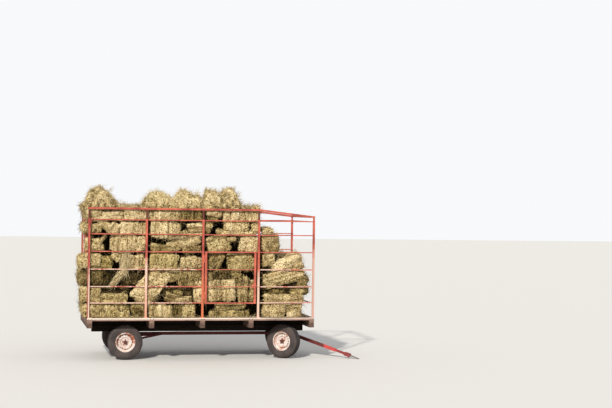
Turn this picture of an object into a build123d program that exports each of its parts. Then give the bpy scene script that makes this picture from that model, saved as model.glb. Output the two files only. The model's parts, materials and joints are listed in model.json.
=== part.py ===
from build123d import *
from math import asin, atan2, cos, hypot, radians, sin
import os

# A four-wheeled hay wagon: a high-sided bale rack on a planked deck, a running gear that
# steers its front wheels from the tongue, and the load of bales that the rack holds.
# Lengths are millimetres. X runs forward, Y to the left, Z up from the ground.
# The origin is on the ground, on the centreline, halfway along the overall length.
rear_end = -2847.2
deck_length = 4880.0
deck_width = 2440.0
deck_top = 915.0
front_end = rear_end + deck_length
half_width = deck_width / 2
sides = (("right", -1), ("left", 1))

# The deck: planks that run lengthwise between two edge boards, on cross beams and two sills.
plank_count = 11
plank_gap = 4.0
board_thick = 38.0
edge_board_height = 56.0
beam_width = 100.0
beam_depth = 175.0
beam_inset = 5.0
beam_middles = (56.0, 1362.0, 2447.0, 3497.0, 4830.0)
sill_width = 90.0
sill_height = 130.0
sill_y = 420.0
sill_rear_inset = 145.0
sill_front_inset = 90.0

# The rack: five posts a side with square rails welded to their inner faces. The top rail has
# its own narrower stubs, which plug into the posts.
post_size = 44.0
post_top_level = 2102.0
stub_size = 34.0
post_outer_y = 1200.0
post_count = 5
post_foot = (100.0, 75.0, 8.0)
post_pitch = (deck_length - post_size) / (post_count - 1)
rail_size = 22.0
rail_levels = (318.0, 664.0, 1031.0, 1406.0, 1776.0, 2078.0)
door_levels = rail_levels[:3]
top_rail_size = 40.0
top_rail_level = 2317.0
front_top_level = 2181.0
rear_stile_y = 220.0
front_levels = (318.0, 664.0, 2078.0)
gusset_reach = 40.0
gusset_low_level = 1870.0
gusset_high_level = 2095.0
gusset_thick = 6.0

# The side door in the third bay of the right side, hinged on the third post.
door_start = 2483.0
door_end = 3595.0
door_low = 302.0
door_high = 1420.0
door_thick = 28.0
door_stile = 45.0
door_rod = 9.0
door_rod_levels = (664.0, 1031.0)
door_axis_x = 2474.0
door_axis_y = -1207.0
hinge_radius = 7.0
hinge_pin_radius = 4.0
pin_clearance = 0.05

# The wheels, the same at all four corners.
tyre_radius = 375.0
tyre_half_width = 115.0
tread_thick = 26.0
bead_radius = 196.0
rim_flange_radius = 208.0
rim_half_width = 103.0
rim_steel = 5.0
disc_out = 57.0
slot_count = 16
slot_radius = 148.0
slot_size = (26.0, 13.0)
nut_circle = 57.0
nut_count = 5
hub_radius = 42.0
hub_flange_radius = 78.0
spindle_radius = 24.0

# The running gear.
rear_axle_x = rear_end + 836.0
front_axle_x = rear_end + 4421.0
hub_height = 375.0
track_half = 820.0
axle_size = 90.0
axle_low = 420.0
kingpin_y = 620.0
kingpin_radius = 15.0
kingpin_low = 384.0
kingpin_high = 545.0
wheel_out = track_half - kingpin_y
plate_out = 50.0
drop_plate = (120.0, 15.0, 190.0)
bolster_width = 90.0
stake_width = 60.0
stake_thick = 12.0
stake_below_beam = 10.0
reach_size = 66.0
reach_middle = 486.0

# The steering, drawn as the wagon stands: turned to the right.
steer_angle = 38.0
plate_low = 399.0
plate_thick = 14.0
arm_length = 130.0
arm_pin_radius = 9.0
rod_eye_radius = 22.0
rod_radius = 8.0
rod_gap = 0.5
open_eye_clearance = 3.0
steer_pin_radius = 20.0

# The tongue, which lies with its hitch plate on the ground.
tongue_pin_ahead = 265.0
tongue_pin_height = 465.0
tongue_pin_radius = 12.0
tongue_size = 64.0
tongue_reach = 1690.0
tongue_tube_end = 1100.0
tongue_bar_size = 48.0
tongue_bar_end = 1325.0
head_size = (150.0, 76.0, 76.0)
hitch_plate = (90.0, 15.0)
hitch_hole_radius = 13.5
hitch_hole_back = 48.0

# The load: seven tiers of bales round one plain block of the hidden ones, and a loose pile on top.
tier_height = 335.0
bale_gap = 10.0
bale_depth = 460.0
load_y = 1120.0
load_rear = 80.0
rear_reach = 550.0

os.makedirs("parts", exist_ok=True)


def at(distance):
    """X of a place that is measured forward from the deck's rear end."""
    return rear_end + distance


def block(x_low, x_high, y_low, y_high, z_low, z_high, mode=Mode.ADD):
    """A box between two corners."""
    middle = ((x_low + x_high) / 2, (y_low + y_high) / 2, (z_low + z_high) / 2)
    with Locations(middle):
        Box(x_high - x_low, y_high - y_low, z_high - z_low, mode=mode)


def finish(piece, name):
    piece.part.label = name
    export_step(piece.part, f"parts/{name}.step")


# Deck
plank_bottom = deck_top - board_thick
inner_half = half_width - board_thick
plank_pitch = 2 * inner_half / plank_count
with BuildPart() as deck_planks:
    with Locations((at(deck_length / 2), 0, deck_top - board_thick / 2)):
        with GridLocations(1, plank_pitch, 1, plank_count):
            Box(deck_length, plank_pitch - plank_gap, board_thick)
finish(deck_planks, "deck_planks")

with BuildPart() as edge_boards:
    with Locations((at(deck_length / 2), 0, deck_top - edge_board_height / 2)):
        with GridLocations(1, deck_width - board_thick, 1, 2):
            Box(deck_length, board_thick, edge_board_height)
finish(edge_boards, "edge_boards")

# Each beam's ends are cut down to pass under the edge boards.
beam_low = plank_bottom - beam_depth
beam_end = half_width - beam_inset
step_top = deck_top - edge_board_height
with BuildPart() as cross_beams:
    for middle in beam_middles:
        with BuildSketch(Plane.YZ.offset(at(middle) - beam_width / 2)):
            with BuildLine():
                half = Polyline(
                    (0, beam_low), (beam_end, beam_low), (beam_end, step_top),
                    (inner_half, step_top), (inner_half, plank_bottom), (0, plank_bottom),
                )
                mirror(half, about=Plane.YZ)
            make_face()
        extrude(amount=beam_width)
finish(cross_beams, "cross_beams")

sill_low = beam_low - sill_height
with BuildPart() as main_sills:
    for name, side in sides:
        middle_y = side * sill_y
        block(at(sill_rear_inset), at(deck_length - sill_front_inset),
              middle_y - sill_width / 2, middle_y + sill_width / 2, sill_low, beam_low)
finish(main_sills, "main_sills")

# Rack posts
post_middles = [post_size / 2 + post_pitch * number for number in range(post_count)]
post_y = post_outer_y - post_size / 2
top_rail_low = deck_top + top_rail_level - top_rail_size / 2
front_top_low = deck_top + front_top_level - top_rail_size / 2
top_rail_y = post_y
for name, side in sides:
    with BuildPart() as posts:
        for middle in post_middles:
            block(at(middle) - post_size / 2, at(middle) + post_size / 2,
                  side * post_y - post_size / 2, side * post_y + post_size / 2,
                  deck_top + post_foot[2], deck_top + post_top_level)
        # A tapered plate stiffens the rear post's top.
        with BuildSketch(Plane.XZ.offset(-side * post_y + gusset_thick / 2)):
            with BuildLine():
                Polyline(
                    (at(post_size), deck_top + gusset_low_level),
                    (at(post_size + gusset_reach), deck_top + gusset_high_level),
                    (at(post_size), deck_top + gusset_high_level), close=True,
                )
            make_face()
        extrude(amount=-gusset_thick)
    finish(posts, f"{name}_posts")

with BuildPart() as post_feet:
    for name, side in sides:
        for middle in post_middles:
            foot_x = min(max(middle, post_foot[0] / 2), deck_length - post_foot[0] / 2)
            foot_y = side * (post_outer_y - post_foot[1] / 2)
            with Locations((at(foot_x), foot_y, deck_top + post_foot[2] / 2)):
                Box(*post_foot)
finish(post_feet, "post_feet")

# Side rails: the lowest three stop at the door bay on the right.
rail_y = post_outer_y - post_size - rail_size / 2
door_bay = (post_middles[2] + post_size / 2, post_middles[3] - post_size / 2)
for name, side in sides:
    with BuildPart() as side_rails:
        for level in rail_levels:
            if side < 0 and level in door_levels:
                runs = ((0, door_bay[0]), (door_bay[1], deck_length))
            else:
                runs = ((0, deck_length),)
            for start, end in runs:
                block(at(start), at(end),
                      side * rail_y - rail_size / 2, side * rail_y + rail_size / 2,
                      deck_top + level - rail_size / 2, deck_top + level + rail_size / 2)
    finish(side_rails, f"{name}_side_rails")

# The top rail runs level over three bays, then slopes down over the front one.
slope_start = at(post_middles[3] + post_size / 2)
slope_end = at(deck_length - post_size)
for name, side in sides:
    with BuildPart() as top_rail:
        with BuildSketch(Plane.XZ.offset(-side * top_rail_y + top_rail_size / 2)):
            with BuildLine():
                Polyline(
                    (at(0), top_rail_low), (slope_start, top_rail_low), (slope_end, front_top_low),
                    (front_end, front_top_low), (front_end, front_top_low + top_rail_size),
                    (slope_end, front_top_low + top_rail_size),
                    (slope_start, top_rail_low + top_rail_size), (at(0), top_rail_low + top_rail_size),
                    close=True,
                )
            make_face()
        extrude(amount=-top_rail_size)
        for middle in post_middles:
            stub_top = front_top_low if middle == post_middles[-1] else top_rail_low
            block(at(middle) - stub_size / 2, at(middle) + stub_size / 2,
                  side * top_rail_y - stub_size / 2, side * top_rail_y + stub_size / 2,
                  deck_top + post_top_level, stub_top)
    finish(top_rail, f"{name}_top_rail")

# Rear end: two stiles and a rail at each level between the sides.
between_top_rails = top_rail_y - top_rail_size / 2
between_side_rails = rail_y - rail_size / 2
with BuildPart() as rear_frame:
    block(at(0), at(top_rail_size), -between_top_rails, between_top_rails,
          top_rail_low, top_rail_low + top_rail_size)
    for name, side in sides:
        block(at(0), at(post_size),
              side * rear_stile_y - post_size / 2, side * rear_stile_y + post_size / 2,
              deck_top, top_rail_low)
finish(rear_frame, "rear_frame")

with BuildPart() as rear_rails:
    for level in rail_levels:
        block(at(post_size), at(post_size + rail_size), -between_side_rails, between_side_rails,
              deck_top + level - rail_size / 2, deck_top + level + rail_size / 2)
finish(rear_rails, "rear_rails")

# Front end: open in the middle, where the bales are thrown in.
with BuildPart() as front_rails:
    block(front_end - top_rail_size, front_end, -between_top_rails, between_top_rails,
          front_top_low, front_top_low + top_rail_size)
    for level in front_levels:
        block(front_end - post_size - rail_size, front_end - post_size,
              -between_side_rails, between_side_rails,
              deck_top + level - rail_size / 2, deck_top + level + rail_size / 2)
finish(front_rails, "front_rails")

# Side door
door_outer = -post_outer_y
door_inner = door_outer + door_thick
door_bottom = deck_top + door_low
door_top = deck_top + door_high
with BuildPart() as door_frame:
    block(at(door_start), at(door_end), door_outer, door_inner, door_bottom, door_top)
    block(at(door_start + door_stile), at(door_end - door_stile), door_outer, door_inner,
          door_bottom + door_thick, door_top - door_thick, mode=Mode.SUBTRACT)
finish(door_frame, "door_frame")

with BuildPart() as door_rods:
    for level in door_rod_levels:
        middle = (at((door_start + door_end) / 2), (door_outer + door_inner) / 2, deck_top + level)
        with Locations(Location(middle, (0, 90, 0))):
            Cylinder(door_rod, door_end - door_start - 2 * door_stile)
finish(door_rods, "door_rods")

# Hinges: a fixed knuckle with its pin on the post, and one on the door that sits on it.
hinge_height = 80.0
hinge_lows = (door_bottom + 100, door_top - 235)
hinge_plate = 46.0
leaf_length = 52.0
leaf_lift = 1.0
leaf_thick = 5.0
with BuildPart() as door_hinges:
    for low in hinge_lows:
        with Locations((at(door_axis_x), door_axis_y, low + hinge_height / 2)):
            Cylinder(hinge_radius, hinge_height)
        with Locations((at(door_axis_x), door_axis_y, low + hinge_height)):
            Cylinder(hinge_pin_radius, 2 * hinge_height)
        block(at(door_axis_x - hinge_plate), at(door_axis_x), door_outer - leaf_thick, door_outer,
              low, low + hinge_height)
finish(door_hinges, "door_hinges")

with BuildPart() as door_leaves:
    for low in hinge_lows:
        leaf_low = low + hinge_height + leaf_lift
        with Locations((at(door_axis_x), door_axis_y, leaf_low + hinge_height / 2)):
            Cylinder(hinge_radius, hinge_height)
        block(at(door_axis_x), at(door_axis_x + leaf_length), door_outer - leaf_thick, door_outer,
              leaf_low, leaf_low + hinge_height)
        with Locations((at(door_axis_x), door_axis_y, leaf_low + hinge_height / 2)):
            Cylinder(hinge_pin_radius + pin_clearance, hinge_height, mode=Mode.SUBTRACT)
finish(door_leaves, "door_leaves")

# Latch: a bolt on the door's free stile, over a rest on the fourth post.
latch_level = deck_top + 680
latch_plate = (90.0, 80.0)
latch_bolt_radius = 7.0
latch_bolt_length = 120.0
latch_bolt_back = 15.0
rest_width = 40.0
rest_height = 70.0
rest_reach = 20.0
rest_thick = 6.0
latch_bolt_y = door_outer - leaf_thick - latch_bolt_radius
with BuildPart() as door_latch:
    block(at(door_end - latch_plate[0]), at(door_end), door_outer - leaf_thick, door_outer,
          latch_level - latch_plate[1] / 2, latch_level + latch_plate[1] / 2)
    with Locations(Location((at(door_end - latch_bolt_back), latch_bolt_y, latch_level), (0, 90, 0))):
        Cylinder(latch_bolt_radius, latch_bolt_length)
finish(door_latch, "door_latch")

with BuildPart() as latch_rest:
    rest_top = latch_level - latch_bolt_radius - rest_thick
    rest_start = at(post_middles[3]) - rest_width / 2
    rest_end = at(post_middles[3]) + rest_width / 2
    block(rest_start, rest_end, door_outer - leaf_thick, door_outer, rest_top - rest_height, rest_top)
    block(rest_start, rest_end, door_outer - rest_reach, door_outer, rest_top - rest_thick, rest_top)
finish(latch_rest, "latch_rest")

# Axles, with the bolsters that carry the sills
axle_top = axle_low + axle_size
half_axle = axle_size / 2
drop_y = track_half - wheel_out + plate_out + drop_plate[1] / 2
spindle_y = drop_y + drop_plate[1] / 2
spindle_end = 30.0
hound_lug = (560.0, 14.0, 330.0)
with BuildPart() as rear_axle:
    block(rear_axle_x - half_axle, rear_axle_x + half_axle, -drop_y, drop_y, axle_low, axle_top)
    for name, side in sides:
        with Locations((rear_axle_x, side * drop_y, axle_top - drop_plate[2] / 2)):
            Box(*drop_plate)
        block(rear_axle_x - half_axle, rear_axle_x + half_axle,
              side * hound_lug[0] - hound_lug[1] / 2, side * hound_lug[0] + hound_lug[1] / 2,
              hound_lug[2], axle_low)
        length = track_half + spindle_end - spindle_y
        with Locations(Location((rear_axle_x, side * (spindle_y + length / 2), hub_height), (90, 0, 0))):
            Cylinder(spindle_radius, length)
finish(rear_axle, "rear_axle")

eye_radius = 40.0
steer_pin_low = 380.0
steer_head_radius = 32.0
steer_head_top = plate_low - 6
with BuildPart() as front_axle:
    block(front_axle_x - half_axle, front_axle_x + half_axle, -kingpin_y, kingpin_y, axle_low, axle_top)
    for name, side in sides:
        with Locations((front_axle_x, side * kingpin_y, axle_low + axle_size / 2)):
            Cylinder(eye_radius, axle_size)
            Cylinder(kingpin_radius, axle_size, mode=Mode.SUBTRACT)
    with Locations((front_axle_x, 0, (axle_low + steer_pin_low) / 2)):
        Cylinder(steer_pin_radius, axle_low - steer_pin_low)
    with Locations((front_axle_x, 0, (steer_head_top + steer_pin_low) / 2)):
        Cylinder(steer_head_radius, steer_head_top - steer_pin_low)
finish(front_axle, "front_axle")

with BuildPart() as kingpins:
    for name, side in sides:
        with Locations((front_axle_x, side * kingpin_y, (kingpin_low + kingpin_high) / 2)):
            Cylinder(kingpin_radius, kingpin_high - kingpin_low)
finish(kingpins, "kingpins")

sill_outer = sill_y + sill_width / 2
bolster_end = sill_outer + stake_thick
with BuildPart() as bolsters:
    for axle_x in (rear_axle_x, front_axle_x):
        block(axle_x - bolster_width / 2, axle_x + bolster_width / 2,
              -bolster_end, bolster_end, axle_top, sill_low)
finish(bolsters, "bolsters")

with BuildPart() as bolster_stakes:
    for axle_x in (rear_axle_x, front_axle_x):
        for name, side in sides:
            outer = side * bolster_end
            inner = side * sill_outer
            block(axle_x - stake_width / 2, axle_x + stake_width / 2,
                  min(inner, outer), max(inner, outer), sill_low, beam_low - stake_below_beam)
finish(bolster_stakes, "bolster_stakes")

# Reach pole from axle to axle, and the braces that square the axles to it. Each brace is drawn
# a little long, and the blocks that are taken away cut it to the pole's side and the axle's face.
reach_low = reach_middle - reach_size / 2
reach_high = reach_middle + reach_size / 2
reach_start = rear_axle_x + half_axle
reach_end = front_axle_x - half_axle
with BuildPart() as reach_pole:
    block(reach_start, reach_end, -reach_size / 2, reach_size / 2, reach_low, reach_high)
finish(reach_pole, "reach_pole")


def hound(start, end, size):
    """A square bar from one point to another, a little long at both ends to be coped."""
    run = Vector(*end) - Vector(*start)
    along = run.normalized()
    plane = Plane(origin=start, z_dir=along, x_dir=Vector(0, 0, 1).cross(along))
    with BuildSketch(plane) as bar:
        Rectangle(size, size)
    extrude(bar.sketch, amount=run.length)


hound_size = 40.0
rear_hound_low = 355.0
rear_hound_drop = 6.0
rear_hound_out = 545.0
rear_hound_reach = 920.0
front_hound_out = 330.0
front_hound_reach = 640.0
with BuildPart() as rear_hounds:
    for name, side in sides:
        hound((rear_axle_x, side * rear_hound_out, rear_hound_low),
              (rear_axle_x + rear_hound_reach, 0, reach_middle - rear_hound_drop), hound_size)
    block(reach_start - 10, rear_axle_x + 1200, -reach_size / 2, reach_size / 2,
          reach_low - 60, reach_high + 60, mode=Mode.SUBTRACT)
    block(rear_axle_x - 100, rear_axle_x + half_axle, -700, 700, 250, 600, mode=Mode.SUBTRACT)
finish(rear_hounds, "rear_hounds")

with BuildPart() as front_hounds:
    for name, side in sides:
        hound((front_axle_x, side * front_hound_out, reach_middle),
              (front_axle_x - front_hound_reach, 0, reach_middle), hound_size)
    block(front_axle_x - 1200, reach_end + 10, -reach_size / 2, reach_size / 2,
          reach_low - 60, reach_high + 60, mode=Mode.SUBTRACT)
    block(front_axle_x - half_axle, front_axle_x + 100, -700, 700, 250, 600, mode=Mode.SUBTRACT)
finish(front_hounds, "front_hounds")

# Steering plate: it turns under the front axle and carries the tongue and both tie rods.
turn = radians(-steer_angle)
ahead = Vector(cos(turn), sin(turn), 0)
across = Vector(-sin(turn), cos(turn), 0)
plate_high = plate_low + plate_thick
steer_plane = Plane(origin=(front_axle_x, 0, plate_low), x_dir=ahead, z_dir=(0, 0, 1))
ear_gap = tongue_size / 2 + 2
ear_thick = 12.0
ear_start = 222.0
ear_end = 300.0
rod_thick = 18.0
stud_reach = rod_thick + 9
pin_up = tongue_pin_height - plate_low
with BuildPart(steer_plane) as steering_plate:
    with BuildSketch(steer_plane):
        with BuildLine():
            Polyline((-20, 58), (120, 62), (ear_end, 52), (ear_end, -52), (120, -62), (-20, -58))
            ThreePointArc((-20, -58), (-62, 0), (-20, 58))
        make_face()
        Circle(steer_pin_radius + pin_clearance, mode=Mode.SUBTRACT)
    extrude(amount=plate_thick)
    with Locations((arm_length, 0, plate_thick / 2)):
        Cylinder(arm_pin_radius, plate_thick + 2 * stud_reach)
    for name, side in sides:
        ear_middle = side * (ear_gap + ear_thick / 2)
        with BuildSketch(Plane(origin=steer_plane.from_local_coords((0, ear_middle + ear_thick / 2, 0)),
                               x_dir=ahead, z_dir=-across)):
            with BuildLine():
                Polyline((ear_start, plate_thick), (ear_end, plate_thick), (tongue_pin_ahead + 26, pin_up))
                ThreePointArc((tongue_pin_ahead + 26, pin_up), (tongue_pin_ahead, pin_up + 26),
                              (tongue_pin_ahead - 26, pin_up))
                Line((tongue_pin_ahead - 26, pin_up), (ear_start, plate_thick))
            make_face()
            with Locations((tongue_pin_ahead, pin_up)):
                Circle(tongue_pin_radius, mode=Mode.SUBTRACT)
        extrude(amount=ear_thick)
finish(steering_plate, "steering_plate")

pin_place = Vector(front_axle_x, 0, tongue_pin_height) + ahead * tongue_pin_ahead
pin_half = ear_gap + ear_thick + 14
with BuildPart() as tongue_pin:
    with Locations(Plane(origin=pin_place, x_dir=ahead, z_dir=across).location):
        Cylinder(tongue_pin_radius, 2 * pin_half)
finish(tongue_pin, "tongue_pin")

# Tongue: it hangs from its pin and its hitch plate's lower edge rests on the ground.
half_plate = hitch_plate[1] / 2
droop = asin(tongue_pin_height / hypot(tongue_reach, half_plate)) - atan2(half_plate, tongue_reach)
down_along = ahead * cos(droop) - Vector(0, 0, 1) * sin(droop)
tongue_plane = Plane(origin=pin_place, x_dir=down_along, z_dir=down_along.cross(across))
half_tongue = tongue_size / 2
with BuildPart(tongue_plane) as tongue_tube:
    with Locations((tongue_tube_end / 2, 0, 0)):
        Box(tongue_tube_end, tongue_size, tongue_size)
    with Locations(Location((0, 0, 0), (90, 0, 0))):
        Cylinder(half_tongue, tongue_size)
        Cylinder(tongue_pin_radius + pin_clearance, tongue_size + 20, mode=Mode.SUBTRACT)
finish(tongue_tube, "tongue_tube")

with BuildPart(tongue_plane) as tongue_bar:
    with Locations(((tongue_tube_end + tongue_bar_end) / 2, 0, 0)):
        Box(tongue_bar_end - tongue_tube_end, tongue_bar_size, tongue_bar_size)
finish(tongue_bar, "tongue_bar")

with BuildPart(tongue_plane) as hitch_head:
    with Locations((tongue_bar_end + head_size[0] / 2, 0, 0)):
        Box(*head_size)
    chamfer(hitch_head.edges().filter_by(Axis(tongue_plane.origin, across)), 12)
finish(hitch_head, "hitch_head")

plate_start = tongue_bar_end + head_size[0]
with BuildPart(tongue_plane) as hitch_tip:
    with BuildSketch(tongue_plane.offset(-hitch_plate[1] / 2)):
        with BuildLine():
            Polyline((tongue_reach, -18), (plate_start, -hitch_plate[0] / 2),
                     (plate_start, hitch_plate[0] / 2), (tongue_reach, 18), close=True)
        make_face()
        with Locations((tongue_reach - hitch_hole_back, 0)):
            Circle(hitch_hole_radius, mode=Mode.SUBTRACT)
    extrude(amount=hitch_plate[1])
finish(hitch_tip, "hitch_tip")

# Knuckles: a fork round each kingpin, the spindle outboard of it and the steering arm ahead of it
fork_radius = 36.0
fork_low = 397.0
fork_lug = 18.0
fork_high = axle_top + 5
plate_bottom = 322.0
fork_plate = (100.0, 15.0)
spindle_length = wheel_out + spindle_end - plate_out - fork_plate[1]
for name, side in sides:
    knuckle_plane = Plane(origin=(front_axle_x, side * kingpin_y, 0), x_dir=ahead, z_dir=(0, 0, 1))
    out = side * (plate_out + fork_plate[1] / 2)
    with BuildPart(knuckle_plane) as knuckle:
        for low in (fork_low, fork_high):
            with Locations((0, 0, low + fork_lug / 2)):
                Cylinder(fork_radius, fork_lug)
            with Locations((0, out / 2, low + fork_lug / 2)):
                Box(2 * fork_radius, abs(out), fork_lug)
        with Locations((0, out, (plate_bottom + fork_high + fork_lug) / 2)):
            Box(fork_plate[0], fork_plate[1], fork_high + fork_lug - plate_bottom)
        with Locations((arm_length / 2, 0, plate_low + plate_thick / 2)):
            Box(arm_length, 2 * rod_eye_radius, plate_thick)
        with Locations((arm_length, 0, plate_low + plate_thick / 2)):
            Cylinder(rod_eye_radius, plate_thick)
        with Locations((arm_length, 0, plate_low + plate_thick / 2 - side * stud_reach / 2)):
            Cylinder(arm_pin_radius, plate_thick + stud_reach)
        spindle_middle = side * (plate_out + fork_plate[1] + spindle_length / 2)
        with Locations(Location((0, spindle_middle, hub_height), (90, 0, 0))):
            Cylinder(spindle_radius, spindle_length)
        with Locations((0, 0, 450)):
            Cylinder(kingpin_radius + pin_clearance, 400, mode=Mode.SUBTRACT)
    finish(knuckle, f"{name}_knuckle")

# Tie rods stay parallel to the axle: the right one lies over the plate and arm, the left one under.
plate_eye = Vector(front_axle_x, 0, 0) + ahead * arm_length
for name, side in sides:
    if side < 0:
        rod_low = plate_high + rod_gap
    else:
        rod_low = plate_low - rod_gap - rod_thick
    near = plate_eye.Y
    far = plate_eye.Y + side * kingpin_y
    with BuildPart() as tie_rod:
        with Locations((plate_eye.X, near, rod_low + rod_thick / 2)):
            Cylinder(rod_eye_radius, rod_thick)
        with Locations((plate_eye.X, far, rod_low + rod_thick / 2)):
            Cylinder(rod_eye_radius, rod_thick)
        with Locations(Location((plate_eye.X, (near + far) / 2, rod_low + rod_thick / 2), (90, 0, 0))):
            Cylinder(rod_radius, kingpin_y)
        with Locations((plate_eye.X, near, rod_low + rod_thick / 2)):
            Cylinder(arm_pin_radius + pin_clearance, 2 * rod_thick, mode=Mode.SUBTRACT)
        with Locations((plate_eye.X, far, rod_low + rod_thick / 2)):
            Cylinder(arm_pin_radius + open_eye_clearance, 2 * rod_thick, mode=Mode.SUBTRACT)
    finish(tie_rod, f"{name}_tie_rod")

# Wheels: each is turned about its own axle line and stands on the ground.
seat_radius = bead_radius - 1
seat_inner = seat_radius - rim_steel
flange_inner = rim_half_width - rim_steel
hub_bore = spindle_radius + pin_clearance
hub_inner_end = -128.0
nut_radius = 12.0
nut_height = 16.0
wheels = []
for name, side in sides:
    straight_out = Vector(0, side, 0)
    turned_out = across * side
    wheels.append((f"rear_{name}", Vector(rear_axle_x, side * track_half, hub_height), straight_out))
    kingpin = Vector(front_axle_x, side * kingpin_y, hub_height)
    wheels.append((f"front_{name}", kingpin + turned_out * wheel_out, turned_out))

for name, centre, outboard in wheels:
    # In this plane x runs up from the axle line and y runs outboard along it.
    section = Plane(origin=centre, x_dir=(0, 0, 1), z_dir=Vector(0, 0, 1).cross(outboard))
    axle_line = Axis(centre, outboard)
    disc_face = Plane(origin=centre + outboard * disc_out, x_dir=(0, 0, 1), z_dir=outboard)

    with BuildPart() as tyre:
        with BuildSketch(section):
            with BuildLine():
                bead = (bead_radius, rim_half_width - 14)
                inner_bead = (bead_radius, rim_half_width - 32)
                shoulder = (346, 98)
                tread_edge = (368, 74)
                Line(inner_bead, bead)
                ThreePointArc(bead, (282, tyre_half_width), shoulder)
                ThreePointArc(shoulder, (362, 90), tread_edge)
                Polyline(tread_edge, (tyre_radius, 0), (tyre_radius - tread_thick, 0),
                         (342, 70), (278, 97), inner_bead)
            make_face()
        revolve(axis=axle_line)
        mirror(about=Plane(origin=centre, z_dir=outboard))
    finish(tyre, f"{name}_tyre")

    with BuildPart() as rim:
        with BuildSketch(section):
            with BuildLine():
                Polyline(
                    (rim_flange_radius, -rim_half_width), (rim_flange_radius, -flange_inner),
                    (seat_radius, -flange_inner + 2), (seat_radius, -58), (172, -48), (172, 30),
                    (seat_radius, 40), (seat_radius, flange_inner - 2),
                    (rim_flange_radius, flange_inner), (rim_flange_radius, rim_half_width),
                    (seat_inner, rim_half_width), (seat_inner, 43), (168, 32), (167, -50),
                    (seat_inner, -61), (seat_inner, -rim_half_width), close=True,
                )
            make_face()
        revolve(axis=axle_line)
        with BuildSketch(section):
            with BuildLine():
                Polyline(
                    (40, disc_out), (92, disc_out), (112, disc_out + 20), (136, disc_out + 20),
                    (158, disc_out - 8), (170, disc_out - 34), (164, disc_out - 36),
                    (152, disc_out - 11), (133, disc_out + 14), (114, disc_out + 14),
                    (94, disc_out - 6), (40, disc_out - 6), close=True,
                )
            make_face()
        revolve(axis=axle_line)
        with BuildSketch(disc_face.offset(-30)):
            with PolarLocations(slot_radius, slot_count):
                Rectangle(slot_size[1], slot_size[0])
        extrude(amount=60, mode=Mode.SUBTRACT)
    finish(rim, f"{name}_rim")

    with BuildPart() as hub:
        with BuildSketch(section):
            with BuildLine():
                Polyline(
                    (0, spindle_end + 6), (hub_bore, spindle_end + 6), (hub_bore, hub_inner_end),
                    (hub_radius, hub_inner_end), (hub_radius, disc_out - 24),
                    (hub_flange_radius, disc_out - 18), (hub_flange_radius, disc_out - 6),
                    (38, disc_out - 6), (36, disc_out + 36), (27, disc_out + 45), (0, disc_out + 48),
                    close=True,
                )
            make_face()
        revolve(axis=axle_line)
        with BuildSketch(disc_face):
            with PolarLocations(nut_circle, nut_count):
                RegularPolygon(nut_radius, 6)
        extrude(amount=nut_height)
    finish(hub, f"{name}_hub")

# The load. Each bale is a box; in a tier the bales stand a finger apart and rest on the tier
# below. The front tiers of the load are shorter from the fifth one up.
low_tiers = 4
core_rear = 560.0
core_half = 650.0
core_low_end = 4160.0
core_high_end = 3160.0
load_low = deck_top
block_high = load_low + low_tiers * tier_height
tier_top = load_low + 7 * tier_height
with BuildPart() as hay_core:
    block(at(core_rear), at(core_low_end), -core_half, core_half, load_low, block_high)
    block(at(core_rear), at(core_high_end), -core_half, core_half, block_high, tier_top)
finish(hay_core, "hay_core")

# Start and end of each bale of the right row, from the deck's rear end, tier by tier
right_row = (
    ((-130, 880), (890, 1290), (1305, 1810), (1825, 2045), (2060, 2400), (2570, 3510),
     (3730, 4255), (4265, 4665)),
    ((-180, 870), (885, 1650), (1665, 2260), (2275, 3180), (3190, 3610), (3730, 4680)),
    ((-200, 640), (655, 1165), (1180, 1840), (1850, 2475), (2660, 3180), (3190, 3440),
     (3730, 4640)),
    ((-230, 580), (620, 1230), (1310, 1925), (1935, 2480), (2535, 3095), (3105, 3630),
     (3740, 4040), (4080, 4620)),
    ((-70, 400), (410, 1230), (1335, 1880), (1890, 2450), (2535, 3160), (3265, 3650),
     (3760, 4100)),
    ((-150, 410), (430, 1230), (1315, 2045), (2105, 2730), (2880, 3525)),
    ((-90, 690), (700, 1270), (1315, 2020), (2040, 2450), (2535, 2880), (2890, 3650)),
)
# The left row is laid in a plain running bond up to each tier's front.
tier_fronts = (4665, 4680, 4640, 4620, 4100, 3525, 3650)
bond_length = 890.0
shortest_bale = 200.0
# What sticks out at the rear passes between two rails: its lowest and highest level, tier by tier.
between_rails = (
    (10, 300), (337, 648), (680, 1002), (1047, 1338), (1422, 1674), (1792, 2008), (2094, 2290),
)
cross_rows = ((-640, -252), (-192, 192), (252, 640))
cross_starts = (-90, 80, -140, -60, 80, -110, -70)
for tier, row in enumerate(right_row):
    low = load_low + tier * tier_height
    high = low + tier_height
    start = load_rear - (tier % 2) * bond_length / 2
    left_row = []
    while start < tier_fronts[tier] - shortest_bale:
        end = min(start + bond_length - bale_gap, tier_fronts[tier])
        left_row.append((max(start, load_rear), end))
        start += bond_length
    near = load_y - bale_depth
    bales_here = [(start, end, -load_y, -near) for start, end in row]
    bales_here += [(start, end, near, load_y) for start, end in left_row]
    front_start = core_low_end if tier < low_tiers else core_high_end
    for y_low, y_high in cross_rows:
        bales_here.append((cross_starts[tier], rear_reach, y_low, y_high))
        bales_here.append((front_start + bale_gap, tier_fronts[tier], y_low, y_high))
    with BuildPart() as bales:
        for start, end, y_low, y_high in bales_here:
            block(at(max(start, load_rear)), at(end), y_low, y_high, low, high)
            if start < load_rear:
                block(at(start), at(load_rear), y_low, y_high,
                      load_low + between_rails[tier][0], load_low + between_rails[tier][1])
    finish(bales, f"bales_tier_{tier + 1}")

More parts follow.
